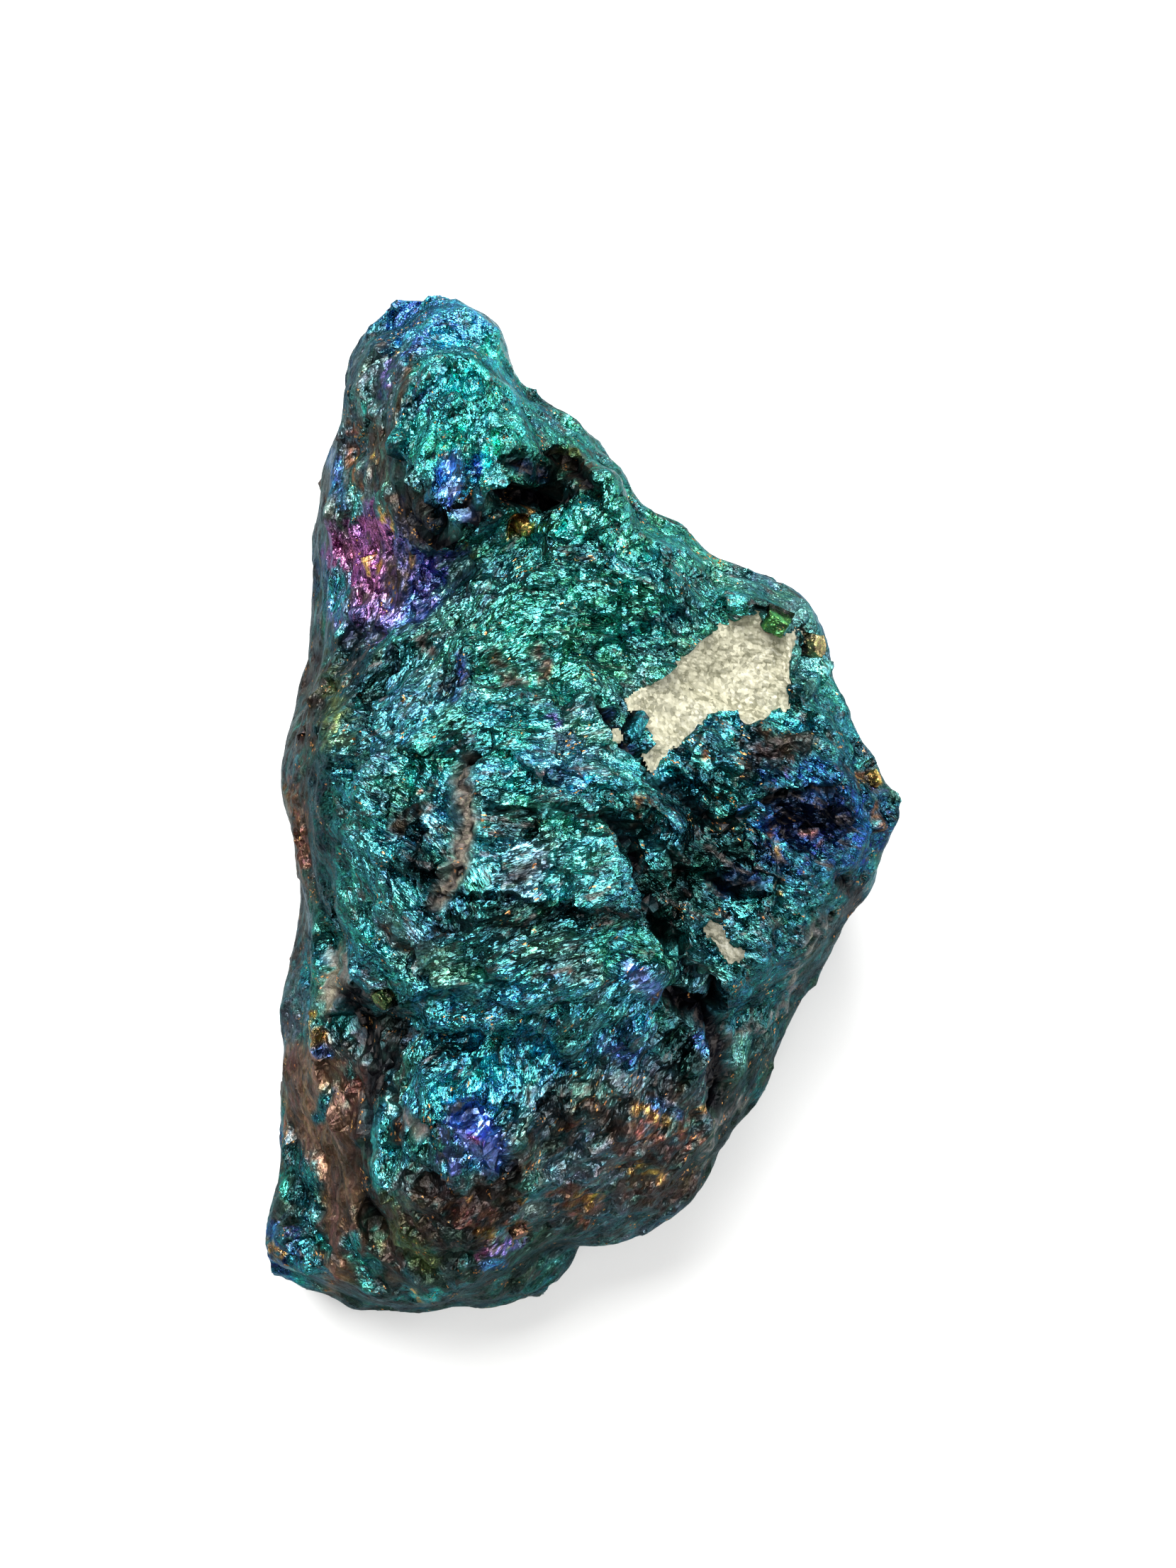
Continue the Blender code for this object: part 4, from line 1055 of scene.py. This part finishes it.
for name, (pixel, length, width, height, turn, sides, tarnish_name) in CRYSTALS.items():
    place, up = sight_on(pixel)
    form = bmesh.new()
    bmesh.ops.create_cone(
        form, cap_ends=True, segments=sides, radius1=0.5, radius2=0.5 * CRYSTAL_TAPER, depth=1)
    bmesh.ops.rotate(form, verts=form.verts, matrix=Matrix.Rotation(np.pi / sides, 3, "Z"))
    stretch = (length * CRYSTAL_CORNERS, width * CRYSTAL_CORNERS, height * 2)
    bmesh.ops.scale(form, verts=form.verts, vec=stretch)
    bmesh.ops.bevel(form, geom=form.edges[:], offset=CRYSTAL_BEVEL, segments=2, affect="EDGES", profile=0.5)
    bmesh.ops.subdivide_edges(form, edges=form.edges[:], cuts=CRYSTAL_CUTS, use_grid_fill=True)
    for vertex in form.verts:
        probe = vertex.co * GROWTH_MANY
        grown = Vector((noise.noise(probe), noise.noise(probe + GROWTH_SHIFT), 0))
        vertex.co += grown * GROWTH_FAR
    stand = up.to_track_quat("Z", "Y").to_matrix() @ Matrix.Rotation(np.radians(turn), 3, "Z")
    set_down = Matrix.Translation(place * MM) @ (stand * MM).to_4x4()
    bmesh.ops.transform(form, verts=form.verts, matrix=set_down)
    crystal_mesh = bpy.data.meshes.new(name)
    form.to_mesh(crystal_mesh)
    form.free()
    crystal = placed(name, crystal_mesh)
    crystal_mesh.materials.append(ore)
    places, _ = read_points(crystal_mesh)
    raised = (places - np.array(place)) @ np.array(up) / height
    fleck_and_foot_shade = np.clip(FLECK_MIDDLE + FLECK_GAIN * cloudy(places, *FLECKS), *FLECK_RANGE)
    # Painted shade: each crystal darkens towards its foot, where it meets the skin
    fleck_and_foot_shade *= np.clip((raised + FOOT_SHADE_UNDER) / FOOT_SHADE_FADE, FOOT_SHADE_LEAST, 1)
    colours = np.append(np.array(TARNISH[tarnish_name][0]) * CRYSTAL_GLOW, 1) * fleck_and_foot_shade[:, None]
    give(crystal_mesh, "tarnish", "FLOAT_COLOR", "POINT", np.clip(colours, 0, 1))
    give(crystal_mesh, "finish", "FLOAT_VECTOR", "POINT", np.tile(CRYSTAL_FINISH, (len(places), 1)))
    give(crystal_mesh, "flake", "FLOAT_VECTOR", "POINT", places)
    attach(crystal, "root")
    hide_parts("chalcopyrite_lump")

# The floor: a matt board of pale card that the lump lies on, wide enough to fill the view. It is the
# studio's and no piece of the lump.
FLOOR_SIZE = 760.0
FLOOR_COLOUR = (0.80, 0.80, 0.79, 1)
FLOOR_ROUGHNESS = 0.6

bpy.ops.mesh.primitive_plane_add(size=FLOOR_SIZE * MM)
floor = bpy.context.object
floor.name = "floor"
board, _, surface = new_material("pale board")
surface.inputs["Base Color"].default_value = FLOOR_COLOUR
surface.inputs["Roughness"].default_value = FLOOR_ROUGHNESS
floor.data.materials.append(board)
floor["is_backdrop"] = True

# The light: three square soft boxes, the strongest over the top of the view, and a pale room around
# them that is brightest low down and dim overhead, so that the flakes glint against dark ones.
LIGHTS = {
    # place and side of the square in millimetres, power in watts
    "key": ((-80, 260, 330), 260, 3.5),
    "overhead": ((60, -20, 380), 260, 1.0),
    "right": ((320, 40, 180), 200, 0.7),
}
for name, (place, side, power) in LIGHTS.items():
    lamp = bpy.data.lights.new(name, "AREA")
    lamp.size = side * MM
    lamp.energy = power
    light = placed(name, lamp)
    light.location = Vector(place) * MM
    light.rotation_euler = (-Vector(place)).to_track_quat("-Z", "Y").to_euler()

# The room's strength, from low down to overhead, and the heights between which it changes
ROOM_COLOUR = (0.97, 0.98, 1.0, 1)
ROOM_LOW = 0.62
ROOM_OVERHEAD = 0.075
ROOM_HEIGHTS = (0.08, 0.45)

world = bpy.data.worlds.new("studio")
world.use_nodes = True
tree = world.node_tree
backdrop = tree.nodes["Background"]
way = add(tree, "TexCoord").outputs["Generated"]
upward = add(tree, "SeparateXYZ", {0: way}).outputs["Z"]
low, high = ROOM_HEIGHTS
glow = add(tree, "MapRange", {"Value": upward, "From Min": low, "From Max": high,
                              "To Min": ROOM_LOW, "To Max": ROOM_OVERHEAD}).outputs[0]
tree.links.new(glow, backdrop.inputs["Strength"])
backdrop.inputs["Color"].default_value = ROOM_COLOUR
bpy.context.scene.world = world

size = {"cad": [list(corner) for corner in cad_box], "visual": [list(corner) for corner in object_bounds()]}
